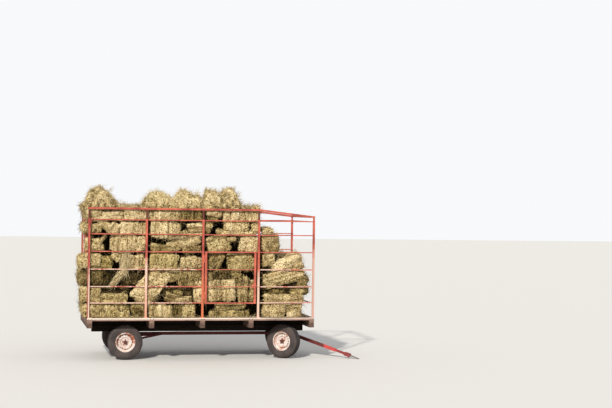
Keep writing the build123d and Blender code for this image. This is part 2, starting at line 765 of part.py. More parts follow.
# The loose pile on top: its height along the load, in three rows, and its crown across the load
pile_start = -190.0
pile_end = 3650.0
pile_heights = (
    (-190, 60), (-20, 210), (60, 400), (270, 450), (520, 335), (590, 60), (1150, 50), (1210, 180),
    (1360, 330), (1560, 350), (1730, 190), (1890, 200), (1970, 385), (2300, 360), (2430, 190),
    (2570, 390), (2870, 380), (3110, 465), (3230, 260), (3300, 50), (3650, 45),
)
pile_rows = ((-1095, -405, 0, 1.0), (-385, 360, 70, 0.92), (380, 1085, -60, 0.86))
pile_crown = ((-1095, 60), (-1060, 200), (-930, 400), (-620, 480), (520, 480), (880, 380),
              (1040, 180), (1085, 60))
with BuildPart() as bales_top:
    for y_low, y_high, shift, share in pile_rows:
        with BuildSketch(Plane.XZ.offset(-y_low)):
            with BuildLine():
                Polyline(
                    (at(pile_start - 100), tier_top),
                    *[(at(x + shift), tier_top + share * height) for x, height in pile_heights],
                    (at(pile_end + 100), tier_top + share * pile_heights[-1][1]),
                    (at(pile_end + 100), tier_top), close=True,
                )
            make_face()
        extrude(amount=y_low - y_high)
    with BuildSketch(Plane.YZ.offset(at(pile_start))):
        with BuildLine():
            Polyline(
                (pile_crown[0][0], tier_top), *[(y, tier_top + height) for y, height in pile_crown],
                (pile_crown[-1][0], tier_top), close=True,
            )
        make_face()
    extrude(amount=pile_end - pile_start, mode=Mode.INTERSECT)
finish(bales_top, "bales_top")
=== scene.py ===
import json
import math
from functools import cache

import bpy
import numpy as np
from mathutils import Matrix, Vector


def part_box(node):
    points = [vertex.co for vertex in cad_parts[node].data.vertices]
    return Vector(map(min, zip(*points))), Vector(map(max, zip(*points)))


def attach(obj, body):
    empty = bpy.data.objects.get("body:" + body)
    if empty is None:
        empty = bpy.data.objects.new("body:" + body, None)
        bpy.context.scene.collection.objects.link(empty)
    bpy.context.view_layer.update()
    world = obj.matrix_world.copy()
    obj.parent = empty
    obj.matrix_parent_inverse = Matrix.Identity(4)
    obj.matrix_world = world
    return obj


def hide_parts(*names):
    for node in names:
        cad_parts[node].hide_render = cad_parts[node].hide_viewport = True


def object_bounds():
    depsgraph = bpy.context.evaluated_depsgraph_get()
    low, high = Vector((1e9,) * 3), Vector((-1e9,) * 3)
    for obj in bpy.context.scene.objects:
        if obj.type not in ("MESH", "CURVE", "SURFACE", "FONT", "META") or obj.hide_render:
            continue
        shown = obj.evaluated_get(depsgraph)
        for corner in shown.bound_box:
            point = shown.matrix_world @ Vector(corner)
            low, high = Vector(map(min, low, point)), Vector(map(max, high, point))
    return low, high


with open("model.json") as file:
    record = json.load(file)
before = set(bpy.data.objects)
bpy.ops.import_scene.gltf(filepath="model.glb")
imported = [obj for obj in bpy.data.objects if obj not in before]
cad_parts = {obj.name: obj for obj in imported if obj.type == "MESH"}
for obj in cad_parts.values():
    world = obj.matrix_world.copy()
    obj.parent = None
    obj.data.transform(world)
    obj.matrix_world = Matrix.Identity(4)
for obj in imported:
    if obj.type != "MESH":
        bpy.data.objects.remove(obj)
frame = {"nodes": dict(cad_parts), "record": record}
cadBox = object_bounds()
nodes = frame["nodes"]
behaviour = frame["record"]["behaviour"]
bodyOf = {node: body for body, names in behaviour["bodies"].items() for node in names}
print("frame loaded", len(nodes), "nodes")

# Places that the frame gives
deckLow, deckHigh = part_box("deck_planks")
deckTop = deckHigh.z
rearX, frontX = deckLow.x, deckHigh.x
upward = np.array((0, 0, 1.0))
offAxis = (0.31, 0.17, 0.93)  # a direction that no piece here runs along

making = {}  # the material being made, and the tree that its nodes go into


# Colours and nodes
def paint(red, green, blue):  # 0 to 255 as seen on screen, to linear
    def channel(value):
        value /= 255
        return value / 12.92 if value <= 0.04045 else ((value + 0.055) / 1.055) ** 2.4
    return (channel(red), channel(green), channel(blue), 1.0)


class Field:  # what a node gives, which takes part in sums as a number does
    def __init__(self, socket):
        self.socket = socket

    def __add__(self, other):
        return calc("ADD", self, other)

    def __sub__(self, other):
        return calc("SUBTRACT", self, other)

    def __rsub__(self, other):
        return calc("SUBTRACT", other, self)

    def __mul__(self, other):
        return calc("MULTIPLY", self, other)

    def __gt__(self, other):
        return calc("GREATER_THAN", self, other)

    def __lt__(self, other):
        return calc("LESS_THAN", self, other)

    def __abs__(self):
        return calc("ABSOLUTE", self)


def feed(socket, value):  # links a field, or sets a plain value
    if isinstance(value, Field):
        making["tree"].links.new(value.socket, socket)
    else:
        socket.default_value = value


def addNode(kind, sockets, output=0, **settings):
    node = making["tree"].nodes.new("ShaderNode" + kind)
    for name, value in settings.items():
        setattr(node, name, value)
    for name, value in sockets.items():
        feed(node.inputs[name], value)
    return Field(node.outputs[output])


def calc(way, first, second=0.5, clamp=False):
    return addNode("Math", {0: first, 1: second}, operation=way, use_clamp=clamp)


def blend(factor, first, second, way="MIX"):
    return addNode("Mix", {0: factor, 6: first, 7: second}, 2, data_type="RGBA", blend_type=way)


def placeOn(stretch=(1, 1, 1)):  # the object's own coordinates
    return addNode("Mapping", {"Vector": addNode("TexCoord", {}, "Object"), "Scale": stretch})


def noise(place, scale, detail=4.0, rough=0.6, twist=0.0):
    return addNode("TexNoise", {"Vector": place, "Scale": scale, "Detail": detail, "Roughness": rough,
                                "Distortion": twist}, "Fac")


def ramp(factor, *stops, steps=False):  # stops are (place, grey value or colour)
    node = making["tree"].nodes.new("ShaderNodeValToRGB")
    feed(node.inputs[0], factor)
    if steps:
        node.color_ramp.interpolation = "CONSTANT"
    elements = node.color_ramp.elements
    while len(elements) < len(stops):
        elements.new(0.5)
    for element, (place, colour) in zip(elements, stops):
        element.position = place
        element.color = colour if isinstance(colour, tuple) else (colour, colour, colour, 1)
    return Field(node.outputs[0])


def wear(colour, texture, start, full, share, over):  # another colour comes in where the texture is high
    return blend(ramp(texture, (start, 0.0), (full, share)), colour, over)


def axisOf(kind, output, axis):  # one axis of what a node gives
    return addNode("SeparateXYZ", {0: addNode(kind, {}, output)}, axis)


def axisValue(axis, low, high, clamp=True):  # 0 at low and 1 at high along one of the wagon's axes
    place = axisOf("TexCoord", "Object", axis)
    return addNode("MapRange", {"Value": place, "From Min": low, "From Max": high}, clamp=clamp)


def markOn(name, output="Fac"):
    return addNode("Attribute", {}, output, attribute_name=name)


def newFinish(name, grains=()):  # nodes go into the newest finish; gives its noises: scale, detail, roughness
    material = bpy.data.materials.new(name)
    material.use_nodes = True
    material.node_tree.nodes.clear()
    making.update(material=material, tree=material.node_tree)
    return [noise(placeOn(), *grain) for grain in grains]


def coat(colour, rough, texture=None, strength=0.3, distance=0.001, metallic=0.0, gloss=0.5):
    if isinstance(rough, tuple):  # from the texture's low places to its high ones
        rough = ramp(texture, (0.3, rough[0]), (0.8, rough[1]))
    sockets = {"Base Color": colour, "Roughness": rough, "Metallic": metallic, "Specular IOR Level": gloss}
    if texture:
        sockets["Normal"] = addNode("Bump", {"Strength": strength, "Distance": distance, "Height": texture})
    shader = addNode("BsdfPrincipled", sockets)
    feed(making["tree"].nodes.new("ShaderNodeOutputMaterial").inputs[0], shader)
    return making["material"]


# Finishes
rackLook = {
    "red": paint(214, 110, 88), "deepRed": paint(158, 66, 58), "bare": paint(242, 214, 194),
    "grey": paint(204, 156, 144), "orange": paint(226, 128, 82), "rust": paint(150, 78, 46),
    "stub": paint(84, 38, 26), "grains": ((2.6, 4, 0.65), (13.0, 4, 0.65), (46.0, 6, 0.65)),
    # where each wear or painted highlight begins, where it is full, and its share
    "greyAhead": (0.8, 0.92, 0.75), "greyFlecks": (0.45, 0.7, 0.55), "greyAbove": (0.55, 0.9, 0.5),
    "deepPatches": (0.4, 0.62, 1.0), "rustPatches": (0.5, 0.72, 0.6), "rustFlecks": (0.62, 0.7, 0.7),
    "railBare": ((0.35, 0.0), (0.62, 1.0)), "postBare": ((0.0, 0.0), (0.3, 1.0)),
    # how a face is turned: less bare paint and more deep red on faces turned down are painted shade
    "bareTilt": ((0.28, 0.15), (0.5, 0.85), (0.8, 1.0)), "deepTilt": ((0.1, 0.75), (0.45, 0.0)),
    "rough": (0.6, 0.92), "bump": (0.35, 0.0015),
    "postOut": 1.1565, "wander": 0.5, "postSharp": 2.4, "footSharp": 2.0, "orangeMost": 0.7, "blotchy": 3.2,
    # shares along the deck, one for each post from the rear, up to which height of 2 m
    "postFade": ((0.0, 0.56), (0.125, 0.66), (0.375, 0.0), (0.74, 0.54), (0.875, 0.76)),
    "postOrange": ((0.0, 0.0), (0.125, 0.4), (0.375, 0.55), (0.51, 0.0), (0.74, 0.04), (0.875, 0.0)),
    # how bare the three low rails are, along the deck, and the heights that part them
    "lowRail": ((0.0, 0.8), (0.14, 0.66), (0.24, 0.85), (0.26, 0.5), (0.4, 0.62), (0.5, 0.1), (0.74, 0.1),
                (0.76, 1.0), (0.94, 0.75), (1.0, 0.5)),
    "midRail": ((0.0, 0.8), (0.09, 0.85), (0.13, 0.25), (0.2, 0.3), (0.25, 0.7), (0.29, 0.35), (0.48, 0.2),
                (0.5, 0.05), (0.74, 0.1), (0.76, 0.7), (1.0, 0.6)),
    "highRail": ((0.0, 0.6), (0.12, 0.75), (0.25, 0.55), (0.36, 0.6), (0.48, 0.3), (0.5, 0.05), (0.74, 0.1),
                 (0.76, 1.0), (0.84, 0.7), (0.93, 0.35), (1.0, 0.2)),
    "railSteps": (0.5, 0.85, 1.2),
    # painted shade on the first post's rear edge, for the shaded stile behind it, and the dark posts between
    # the rails and the top rail
    "darkEdge": (0.024, 0.018), "darkShare": 0.85,
    "stubFrom": (2.094, 2.104), "stubTo": (2.3, 2.292), "stubShare": 0.9, "stubAlong": 0.76,
}


def rackPaint():
    look = rackLook
    broad, blotch, fine = newFinish("rackPaint", look["grains"])
    along = axisValue(0, rearX, frontX)
    upTwo = axisValue(2, deckTop, deckTop + 2)
    isPost = abs(axisOf("TexCoord", "Object", 1)) > look["postOut"]
    wander = (blotch - 0.5) * look["wander"]

    toPost = (ramp(along, *look["postFade"], steps=True) - upTwo) * look["postSharp"] + wander
    low, mid, high = look["railSteps"]
    onRail = ramp(along, *look["lowRail"])
    for edge, title in ((low, "midRail"), (mid, "highRail")):
        onRail = blend(upTwo > edge / 2, onRail, ramp(along, *look[title]))
    onRail = onRail * (upTwo < high / 2) + (blotch - 0.5) * look["blotchy"]
    bare = blend(isPost, ramp(onRail, *look["railBare"]), ramp(toPost, *look["postBare"]))
    pale = wear(look["bare"], along, *look["greyAhead"], look["grey"])
    pale = wear(pale, fine, *look["greyFlecks"], look["grey"])
    tilt = axisOf("NewGeometry", "Normal", 2) * 0.5 + 0.5  # 0 facing down, 1 facing up
    # painted shade: the bare paint shows less on faces turned down
    bare = bare * ramp(tilt, *look["bareTilt"])
    red = wear(look["red"], broad, *look["deepPatches"], look["deepRed"])
    red = wear(red, blotch, *look["rustPatches"], look["rust"])
    # painted shade in deep red on faces turned down, and a painted highlight in grey on faces turned up
    red = blend(ramp(tilt, *look["deepTilt"]), red, look["deepRed"])
    red = wear(red, tilt, *look["greyAbove"], look["grey"])
    colour = blend(bare, red, pale)

    toFoot = (ramp(along, *look["postOrange"], steps=True) - upTwo) * look["footSharp"] + wander
    toFoot = ramp(toFoot, (0.0, 0.0), (1.0, 1.0)) * isPost * look["orangeMost"]
    colour = blend(toFoot, colour, look["orange"])
    # painted shade: deep red on the first post's rear edge
    shadeEdge = axisValue(0, *(rearX + edge for edge in look["darkEdge"])) * look["darkShare"]
    colour = blend(shadeEdge, colour, look["deepRed"])
    colour = wear(colour, fine, *look["rustFlecks"], look["rust"])
    aboveRails, underTop = (axisValue(2, *(deckTop + height for height in look[title]))
                            for title in ("stubFrom", "stubTo"))
    onStub = aboveRails * underTop * look["stubShare"] * (along < look["stubAlong"])
    return coat(blend(onStub, colour, look["stub"]), look["rough"], fine, *look["bump"])


gearLook = {
    # the dark red is painted shade over all the gear under the deck
    "red": paint(96, 24, 24), "bright": paint(206, 74, 70), "head": paint(140, 50, 52),
    "worn": paint(140, 66, 56), "dust": paint(120, 92, 78), "grains": ((5.0, 4), (60.0, 5)),
    "wornPatches": (0.46, 0.66, 0.45), "dustFlecks": (0.58, 0.72, 0.4), "rough": (0.5, 0.85),
    # only the tongue reaches past the deck: where the painted shadow on its tube ends and where its head
    # begins, in front of it
    "reaches": ((0.33, 0.37, "bright"), (0.56, 0.62, "head")),
}


def gearPaint():
    look = gearLook
    broad, fine = newFinish("gearPaint", look["grains"])
    colour = look["red"]
    # painted shadow: the gear stays dark red up to the shadow's edge on the tongue
    for low, high, title in look["reaches"]:
        colour = blend(axisValue(0, frontX + low, frontX + high), colour, look[title])
    colour = wear(colour, broad, *look["wornPatches"], look["worn"])
    colour = wear(colour, fine, *look["dustFlecks"], look["dust"])
    return coat(colour, look["rough"], fine)


wheelLook = {
    "cream": paint(232, 219, 213), "rust": paint(172, 94, 58), "stain": paint(206, 166, 146),
    "grains": ((9.0, 5, 0.65), (80.0, 5)), "ragged": 2.4, "rough": (0.4, 0.8), "bump": 0.25,
    "stainPatches": (0.45, 0.75, 1.0), "rustFlecks": (0.53, 0.62, 0.9), "spotEdge": (0.35, 1.2),
    # rusty places of the two near wheels: along from the deck's rear end, height, size, share; the front
    # wheel's ones above its hub are also painted shade of its rim's well
    "spots": ((0.94, 0.53, 0.055, 0.9), (1.0, 0.46, 0.055, 1.0), (1.02, 0.38, 0.04, 0.8),
              (0.86, 0.57, 0.04, 0.6), (0.72, 0.52, 0.045, 0.6), (0.66, 0.42, 0.04, 0.65),
              (0.655, 0.34, 0.035, 0.5), (4.36, 0.52, 0.035, 0.7), (4.31, 0.46, 0.03, 0.6),
              (4.42, 0.56, 0.025, 0.5), (4.3, 0.25, 0.03, 0.3)),
}


def wheelPaint():
    look = wheelLook
    broad, fine = newFinish("wheelPaint", look["grains"])
    colour = wear(look["cream"], broad, *look["stainPatches"], look["stain"])
    colour = wear(colour, broad * 0.5 + fine * 0.5, *look["rustFlecks"], look["rust"])
    inner, outer = look["spotEdge"]
    # rust, and on the front wheel's upper rim painted shade as well
    for along, height, size, share in look["spots"]:
        aside = axisValue(0, rearX + along, rearX + along + size, clamp=False)
        above = axisValue(2, height, height + size, clamp=False)
        far = aside * aside + above * above + (fine - 0.5) * look["ragged"]
        colour = blend(ramp(far, (inner, share), (outer, 0.0)), colour, look["rust"])
    return coat(colour, look["rough"], fine, look["bump"])


plainLook = {  # from: where in the noise the second colour begins and where it is full
    "hubPaint": {"first": paint(92, 40, 34), "second": paint(112, 64, 48), "grains": ((40.0, 5),),
                 "from": (0.45, 0.65), "rough": (0.5, 0.9), "metallic": 0.0},
    "wornSteel": {"first": paint(150, 142, 136), "second": paint(112, 84, 66), "grains": ((55.0, 5),),
                  "from": (0.42, 0.62), "rough": (0.35, 0.75), "metallic": 0.75},
}


def plainFinish(name):
    look = plainLook[name]
    fine, = newFinish(name, look["grains"])
    colour = wear(look["first"], fine, *look["from"], 1.0, look["second"])
    return coat(colour, look["rough"], fine, metallic=look["metallic"])


tyreLook = {"rubber": paint(48, 44, 47), "dust": paint(98, 86, 82), "grains": ((6.0, 4), (120.0, 4)),
            "shares": (0.7, 0.3, 0.3), "dusty": (0.42, 0.86, 0.9), "rough": ((0.2, 0.7), (0.8, 0.95)),
            "bump": 0.0008, "gloss": 0.35}


def tyreRubber():
    look = tyreLook
    broad, fine = newFinish("tyreRubber", look["grains"])
    ofBroad, ofFine, ofDust = look["shares"]
    dusty = broad * ofBroad + fine * ofFine + markOn("dust") * ofDust
    colour = wear(look["rubber"], dusty, *look["dusty"], look["dust"])
    return coat(colour, ramp(fine, *look["rough"]), fine, distance=look["bump"], gloss=look["gloss"])


timberLook = {
    # the frame timber's dark colours are painted shade under the deck; under is each timber's share left by
    # the painted shade below the deck top
    "frameTimber": {"pale": paint(124, 104, 90), "dark": paint(58, 44, 38), "stretch": (1.2, 16, 16),
                    "paintLeft": paint(120, 96, 86), "left": 0.25, "under": 0.14},
    "beamTimber": {"pale": paint(176, 144, 130), "dark": paint(104, 82, 72), "stretch": (16, 1.2, 16),
                   "paintLeft": paint(190, 150, 140), "left": 0.4, "under": 0.45},
    "edgeTimber": {"pale": paint(184, 156, 142), "dark": paint(106, 84, 76), "stretch": (0.9, 18, 18),
                   "paintLeft": paint(190, 150, 142), "left": 0.5, "under": 0.8, "top": paint(250, 236, 222),
                   "topFrom": (0.038, 0.012), "topAlong": ((0.0, 1.0), (0.7, 0.9), (0.82, 0.35), (1.0, 0.5))},
}
sawnLook = {  # what the three timbers share
    "grain": (3.2, 7, 0.7, 0.4), "broad": (1.6, 4), "palePatches": (0.34, 0.62, 1.0),
    "paintEdge": (0.5, 0.56), "topEdge": ((0.66, 0.0), (0.9, 0.9)), "topPeel": 0.7,
    # painted shade below the deck top: its depths, its grain share and where it shows
    "soot": (0.06, 0.14), "sootGrain": 0.2, "sootFrom": (0.1, 1.0, 1.0),
    "rough": 0.85, "bump": (0.6, 0.003), "gloss": 0.15,
}


def timber(name):
    look = {**sawnLook, **timberLook[name]}
    newFinish(name)
    grain = noise(placeOn(look["stretch"]), *look["grain"])
    peel = noise(placeOn(), *look["broad"]) * 0.7 + grain * 0.3
    colour = wear(look["dark"], grain, *look["palePatches"], look["pale"])
    colour = wear(colour, peel, *look["paintEdge"], look["left"], look["paintLeft"])
    if "top" in look:  # the paint that is left on the upper edge
        upper = axisValue(2, *(deckTop - down for down in look["topFrom"])) + peel * look["topPeel"]
        worn = ramp(axisValue(0, rearX, frontX), *look["topAlong"])
        colour = blend(ramp(upper, *look["topEdge"]) * worn, colour, look["top"])
    # painted shade: each timber darker below the deck top, by its under share
    shadedBelow = axisValue(2, *(deckTop - down for down in look["soot"])) + grain * look["sootGrain"]
    darker = blend(1.0, colour, (look["under"],) * 3 + (1,), "MULTIPLY")
    colour = wear(colour, shadedBelow, *look["sootFrom"], darker)
    return coat(colour, look["rough"], grain, *look["bump"], gloss=look["gloss"])


hayLook = {
    "tones": ((0.0, paint(30, 23, 12)), (0.25, paint(104, 88, 50)), (0.5, paint(182, 158, 112)),
              (0.72, paint(220, 199, 152)), (1.0, paint(246, 230, 192))),
    "green": paint(150, 158, 92), "twine": paint(204, 112, 78), "greenMost": 0.75, "lift": 0.015,
    "grains": ((3.5, 4, 0.6), (42.0, 3, 0.7), (30.0, 2, 0.5)), "streaks": (1.0, 4, 0.7, 0.8),
    "specks": (0.55, 4, 0.75, 0.6), "broad": 0.34, "streak": 0.95, "fleck": 1.45,
    # the gap ramp is painted shade of gaps between stalks, placed by noise
    "speckDark": ((0.33, 0.72), (0.43, 0.0)), "gapDark": ((0.36, 0.65), (0.46, 0.0)),
    "rough": 0.85, "bump": (0.9, 0.008), "gloss": 0.15,
}


def hayFinish():
    look = hayLook
    broad, fine, gapShadeNoise = newFinish("hay", look["grains"])
    own = markOn("own", "Vector")
    streak = noise(own, *look["streaks"])
    value = markOn("tones") + look["lift"]
    for texture, strength in ((broad, look["broad"]), (streak, look["streak"]), (fine, look["fleck"])):
        value = calc("ADD", value, (texture - 0.5) * strength, clamp=True)
    speck = ramp(noise(own, *look["specks"]), *look["speckDark"])
    # painted shade of gaps between stalks, placed by noise
    gap = ramp(gapShadeNoise, *look["gapDark"])
    colour = ramp(value * (1.0 - speck) * (1.0 - gap), *look["tones"])
    soft, strong = (blend(1.0, colour, look["green"], way) for way in ("SOFT_LIGHT", "MULTIPLY"))
    colour = blend(markOn("green") * look["greenMost"], colour, blend(0.5, soft, strong))
    colour = blend(markOn("twine"), colour, look["twine"])
    return coat(colour, look["rough"], streak + fine, *look["bump"], gloss=look["gloss"])


finishes = {
    "rack_paint": rackPaint(), "gear_paint": gearPaint(), "wheel_paint": wheelPaint(),
    "hub_paint": plainFinish("hubPaint"), "worn_steel": plainFinish("wornSteel"), "tyre_rubber": tyreRubber(),
    "frame_timber": timber("frameTimber"), "edge_timber": timber("edgeTimber"), "hay": hayFinish(),
}
beamFinish = timber("beamTimber")
for part in frame["record"]["subparts"]:
    materials = nodes[part["node"]].data.materials
    materials.clear()
    materials.append(beamFinish if part["node"] == "cross_beams" else finishes[part["material_slot"]])
print("finishes made")


# Mesh helpers
def addToScene(name, data):
    thing = bpy.data.objects.new(name, data)
    bpy.context.scene.collection.objects.link(thing)
    return thing


def addPiece(name, points, faces, slotName, body, marks=None, smooth=False):
    mesh = bpy.data.meshes.new(name)
    mesh.from_pydata(np.asarray(points).tolist(), [], faces)
    if smooth:
        mesh.shade_smooth()
    for title, values in (marks or {}).items():
        kind, field = ("FLOAT", "value") if values.ndim == 1 else ("FLOAT_VECTOR", "vector")
        layer = mesh.attributes.new(title, kind, "POINT")
        layer.data.foreach_set(field, values.astype(np.float32).reshape(-1))
    mesh.materials.append(finishes[slotName])
    piece = addToScene(name, mesh)
    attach(piece, body)
    return piece


def unit(vectors):
    return vectors / np.linalg.norm(vectors, axis=-1, keepdims=True)


def circle(side, other, count):  # that many directions round a line, from side towards other
    turns = 2 * math.pi * np.arange(count)[:, None] / count
    return np.cos(turns) * side + np.sin(turns) * other


def ringQuads(start, rings, count, closed=False):  # quads between rings of that many points each
    quads = []
    for ring in range(rings if closed else rings - 1):
        near, far = start + ring * count, start + (ring + 1) % rings * count
        for number in range(count):
            after = (number + 1) % count
            quads.append((near + number, near + after, far + after, far + number))
    return quads


def threeSides(middle, side, other, thick):  # the three corners of a thin stalk or cord
    return [middle + (side * math.cos(angle) + other * math.sin(angle)) * thick
            for angle in (0, 2 * math.pi / 3, 4 * math.pi / 3)]


def lookUp(table, place):  # a table of (place, value), read at a place
    return np.interp(place, *np.array(table).T)


def ease(share):
    return share * share * (3 - 2 * share)


def smoothStep(values, low, high):  # 0 below low, 1 above high
    return ease(np.clip((values - low) / (high - low), 0, 1))


def lumps(points, size, seed):  # smooth noise from -1 to 1, with lumps of about that size
    grid = points / size
    cell = np.floor(grid).astype(np.int64)
    part = ease(grid - cell)
    total = np.zeros(len(points))
    for corner in np.ndindex(2, 2, 2):
        spot = cell + np.array(corner)
        mixed = spot[:, 0] * 73856093 ^ spot[:, 1] * 19349663 ^ spot[:, 2] * 83492791 ^ seed * 40503
        mixed = (mixed ^ (mixed >> 13)) * 1274126177
        value = ((mixed ^ (mixed >> 16)) & 0xFFFF) / 32767.5 - 1
        share = np.ones(len(points))
        for axis in range(3):
            share *= part[:, axis] if corner[axis] else 1 - part[:, axis]
        total += value * share
    return total


@cache
def boxGrid(counts):  # lattice points and quads of a closed box with that many cells along each axis
    index = {}
    quads = []
    for axis in range(3):
        first, second = (axis + 1) % 3, (axis + 2) % 3
        for end, i, j in np.ndindex(2, counts[first], counts[second]):
            quad = []
            for di, dj in ((0, 0), (1, 0), (1, 1), (0, 1)):
                spot = [0, 0, 0]
                spot[axis], spot[first], spot[second] = end * counts[axis], i + di, j + dj
                quad.append(index.setdefault(tuple(spot), len(index)))
            quads.append(quad if end else quad[::-1])
    return np.array(list(index)), np.array(quads)


def looseParts(node):  # lowest and highest corner of each separate solid of a CAD node
    mesh = nodes[node].data
    spots = np.array([vertex.co for vertex in mesh.vertices])
    keys = {}
    same = [keys.setdefault(tuple(np.round(spot, 4)), number) for number, spot in enumerate(spots)]
    parent = list(range(len(spots)))

    def top(number):
        while parent[number] != number:
            number = parent[number]
        return number

    for face in mesh.polygons:
        corners = [same[v] for v in face.vertices]
        for corner in corners[1:]:
            parent[top(corner)] = top(corners[0])
    groups = {}
    for number in set(same):
        groups.setdefault(top(number), []).append(number)
    boxes = [(spots[group].min(axis=0), spots[group].max(axis=0)) for group in groups.values()]
    return sorted(boxes, key=lambda box: tuple(np.round(np.concatenate(box), 3)))


# Hay: pressed flakes with grooves between them, and stalks that stand out of what is open to view
baleLook = {
    "flake": 0.095, "columns": (0.0, 0.2, 0.5, 0.8), "spacing": 0.027, "farSpacing": 0.045,
    "round": 0.05, "roundMost": 0.85, "looseRound": (0.95, 0.98),  # the last two are shares of the half sizes
    "groove": (0.0, 0.013), "grooveWide": 0.018, "shift": 0.012,
    "lump": 0.022, "lumpSize": 0.14, "knot": 0.019, "knotSize": 0.05, "jitter": 0.004,
    # painted shade: hay darker in dips and grooves and paler on lumps; the flake tone varies at random
    "lumpTone": 0.12, "knotTone": 0.2, "grooveTone": 9, "flakeTone": 0.055,
    # painted shade inside the open faces: where it begins and is full, and the share of tone kept
    "shadeIn": (0.03, 0.17), "shadeKept": 0.12, "wobble": 2.5, "ownRoom": 3,
}
ways = {  # across which axis the flakes lie, how the stalks run, and the streaks per metre
    "side": (0, (1.0, 1.0, 0.35), (62, 50, 13)),
    "end": (1, (0.7, 1.0, 0.8), (34, 50, 26)),
    "flat": (2, (0.3, 0.8, 1.0), (12, 50, 62)),
    "loose": (2, (0.4, 0.8, 0.9), (13, 45, 52)),
}


def gridLines(length, flakes, spacing):
    if not flakes:
        return np.linspace(-length / 2, length / 2, max(3, round(length / spacing)) + 1)
    step = length / flakes
    inner = [(number + share) * step for number in range(flakes) for share in baleLook["columns"]]
    return np.array(inner + [length]) - length / 2


def bale(dice, middle, size, way, lean, shade, green, openTo, spacing=baleLook["spacing"]):
    look = baleLook
    across, grain, streaks = ways[way]
    half = np.array(size) / 2
    flakes = 1 if way == "loose" else max(1, round(size[across] / look["flake"]))
    lines = [gridLines(size[axis], flakes if axis == across else 0, spacing) for axis in range(3)]
    lattice, quads = boxGrid(tuple(len(line) - 1 for line in lines))
    points = np.stack([lines[axis][lattice[:, axis]] for axis in range(3)], axis=1)
    edge = min(look["round"], half.min() * look["roundMost"])
    if way == "loose":
        edge = min(half[[0, 2]].min() * look["looseRound"][0], half.min() * look["looseRound"][1])
    inner = np.clip(points, -(half - edge), half - edge)
    away = unit(points - inner)
    points = inner + away * edge

    place = (lines[across][lattice[:, across]] + half[across]) / size[across] * flakes
    border = np.round(place).astype(int)
    depths = dice.uniform(*look["groove"], flakes + 1)
    depths[[0, -1]] = 0
    fromGroove = np.abs(place - border) * size[across] / flakes
    groove = depths[border] * (1 - smoothStep(fromGroove, 0, look["grooveWide"]))
    inward = away.copy()
    inward[:, across] = 0
    flakeOf = np.clip(np.floor(place).astype(int), 0, flakes - 1)
    shifts = dice.uniform(-look["shift"], look["shift"], (flakes, 3))
    shifts[:, across] = 0
    points += shifts[flakeOf] - inward * groove[:, None]

    seed = int(dice.integers(1 << 16))
    lump = lumps(points * grain, look["lumpSize"], seed)
    knot = lumps(points * grain, look["knotSize"], seed + 1)
    points += away * (look["lump"] * lump + look["knot"] * knot)[:, None]
    points += dice.normal(0, look["jitter"], points.shape)

    # painted shade: the hay darkens with depth under the faces open to view
    depth = np.min([half[axis] - sign * points[:, axis] for axis, sign in openTo], axis=0)
    dark = smoothStep(depth, *look["shadeIn"])
    # painted shade: darker in dips and grooves, paler on lumps
    tones = shade + look["lumpTone"] * lump + look["knotTone"] * knot - look["grooveTone"] * groove
    tones = tones + dice.normal(0, look["flakeTone"], flakes)[flakeOf]
    tones = np.clip(tones, 0, 1) * (1 - (1 - look["shadeKept"]) * dark)

    turn = Matrix.Rotation(-math.radians(lean), 3, "Y")
    for axis in ("Z", "X"):
        turn = turn @ Matrix.Rotation(math.radians(dice.normal(0, look["wobble"])), 3, axis)
    turn = np.array(turn)
    own = (points + dice.uniform(-look["ownRoom"], look["ownRoom"], 3)) * streaks
    return {"points": points @ turn.T + middle, "quads": quads, "tones": tones, "own": own,
            "green": np.full(len(points), green), "middle": middle, "half": half, "way": way,
            "turn": turn, "grain": np.array(grain), "openTo": openTo}


stalkLook = {
    "stalk": {"long": (0.05, 0.17), "thick": (0.0018, 0.0038), "lift": (0.08, 0.7)},
    "wisp": {"long": (0.1, 0.24), "thick": (0.004, 0.007), "lift": (0.02, 0.16)},
    "facing": 0.45, "rooted": 0.006, "follow": 1.5, "paler": 0.08, "varied": 0.2, "inDark": (2.2, 0.2),
    "greenVaried": 0.15,
}


def spikes(dice, roots, along, lengths, thick, tones, greens):  # thin closed three-sided stalks
    along = unit(along)
    side = unit(np.cross(along, dice.normal(size=along.shape)))
    other = np.cross(along, side)
    foot = threeSides(roots, side, other, thick[:, None])
    points = np.stack([*foot, roots + along * lengths[:, None]], axis=1)
    base = np.arange(len(roots))[:, None] * 4
    faces = np.concatenate([base + np.array(face) for face in ((2, 1, 0), (0, 1, 3), (1, 2, 3), (2, 0, 3))])
    return {"points": points.reshape(-1, 3), "quads": faces, "tones": np.repeat(tones, 4),
            "green": np.repeat(greens, 4)}


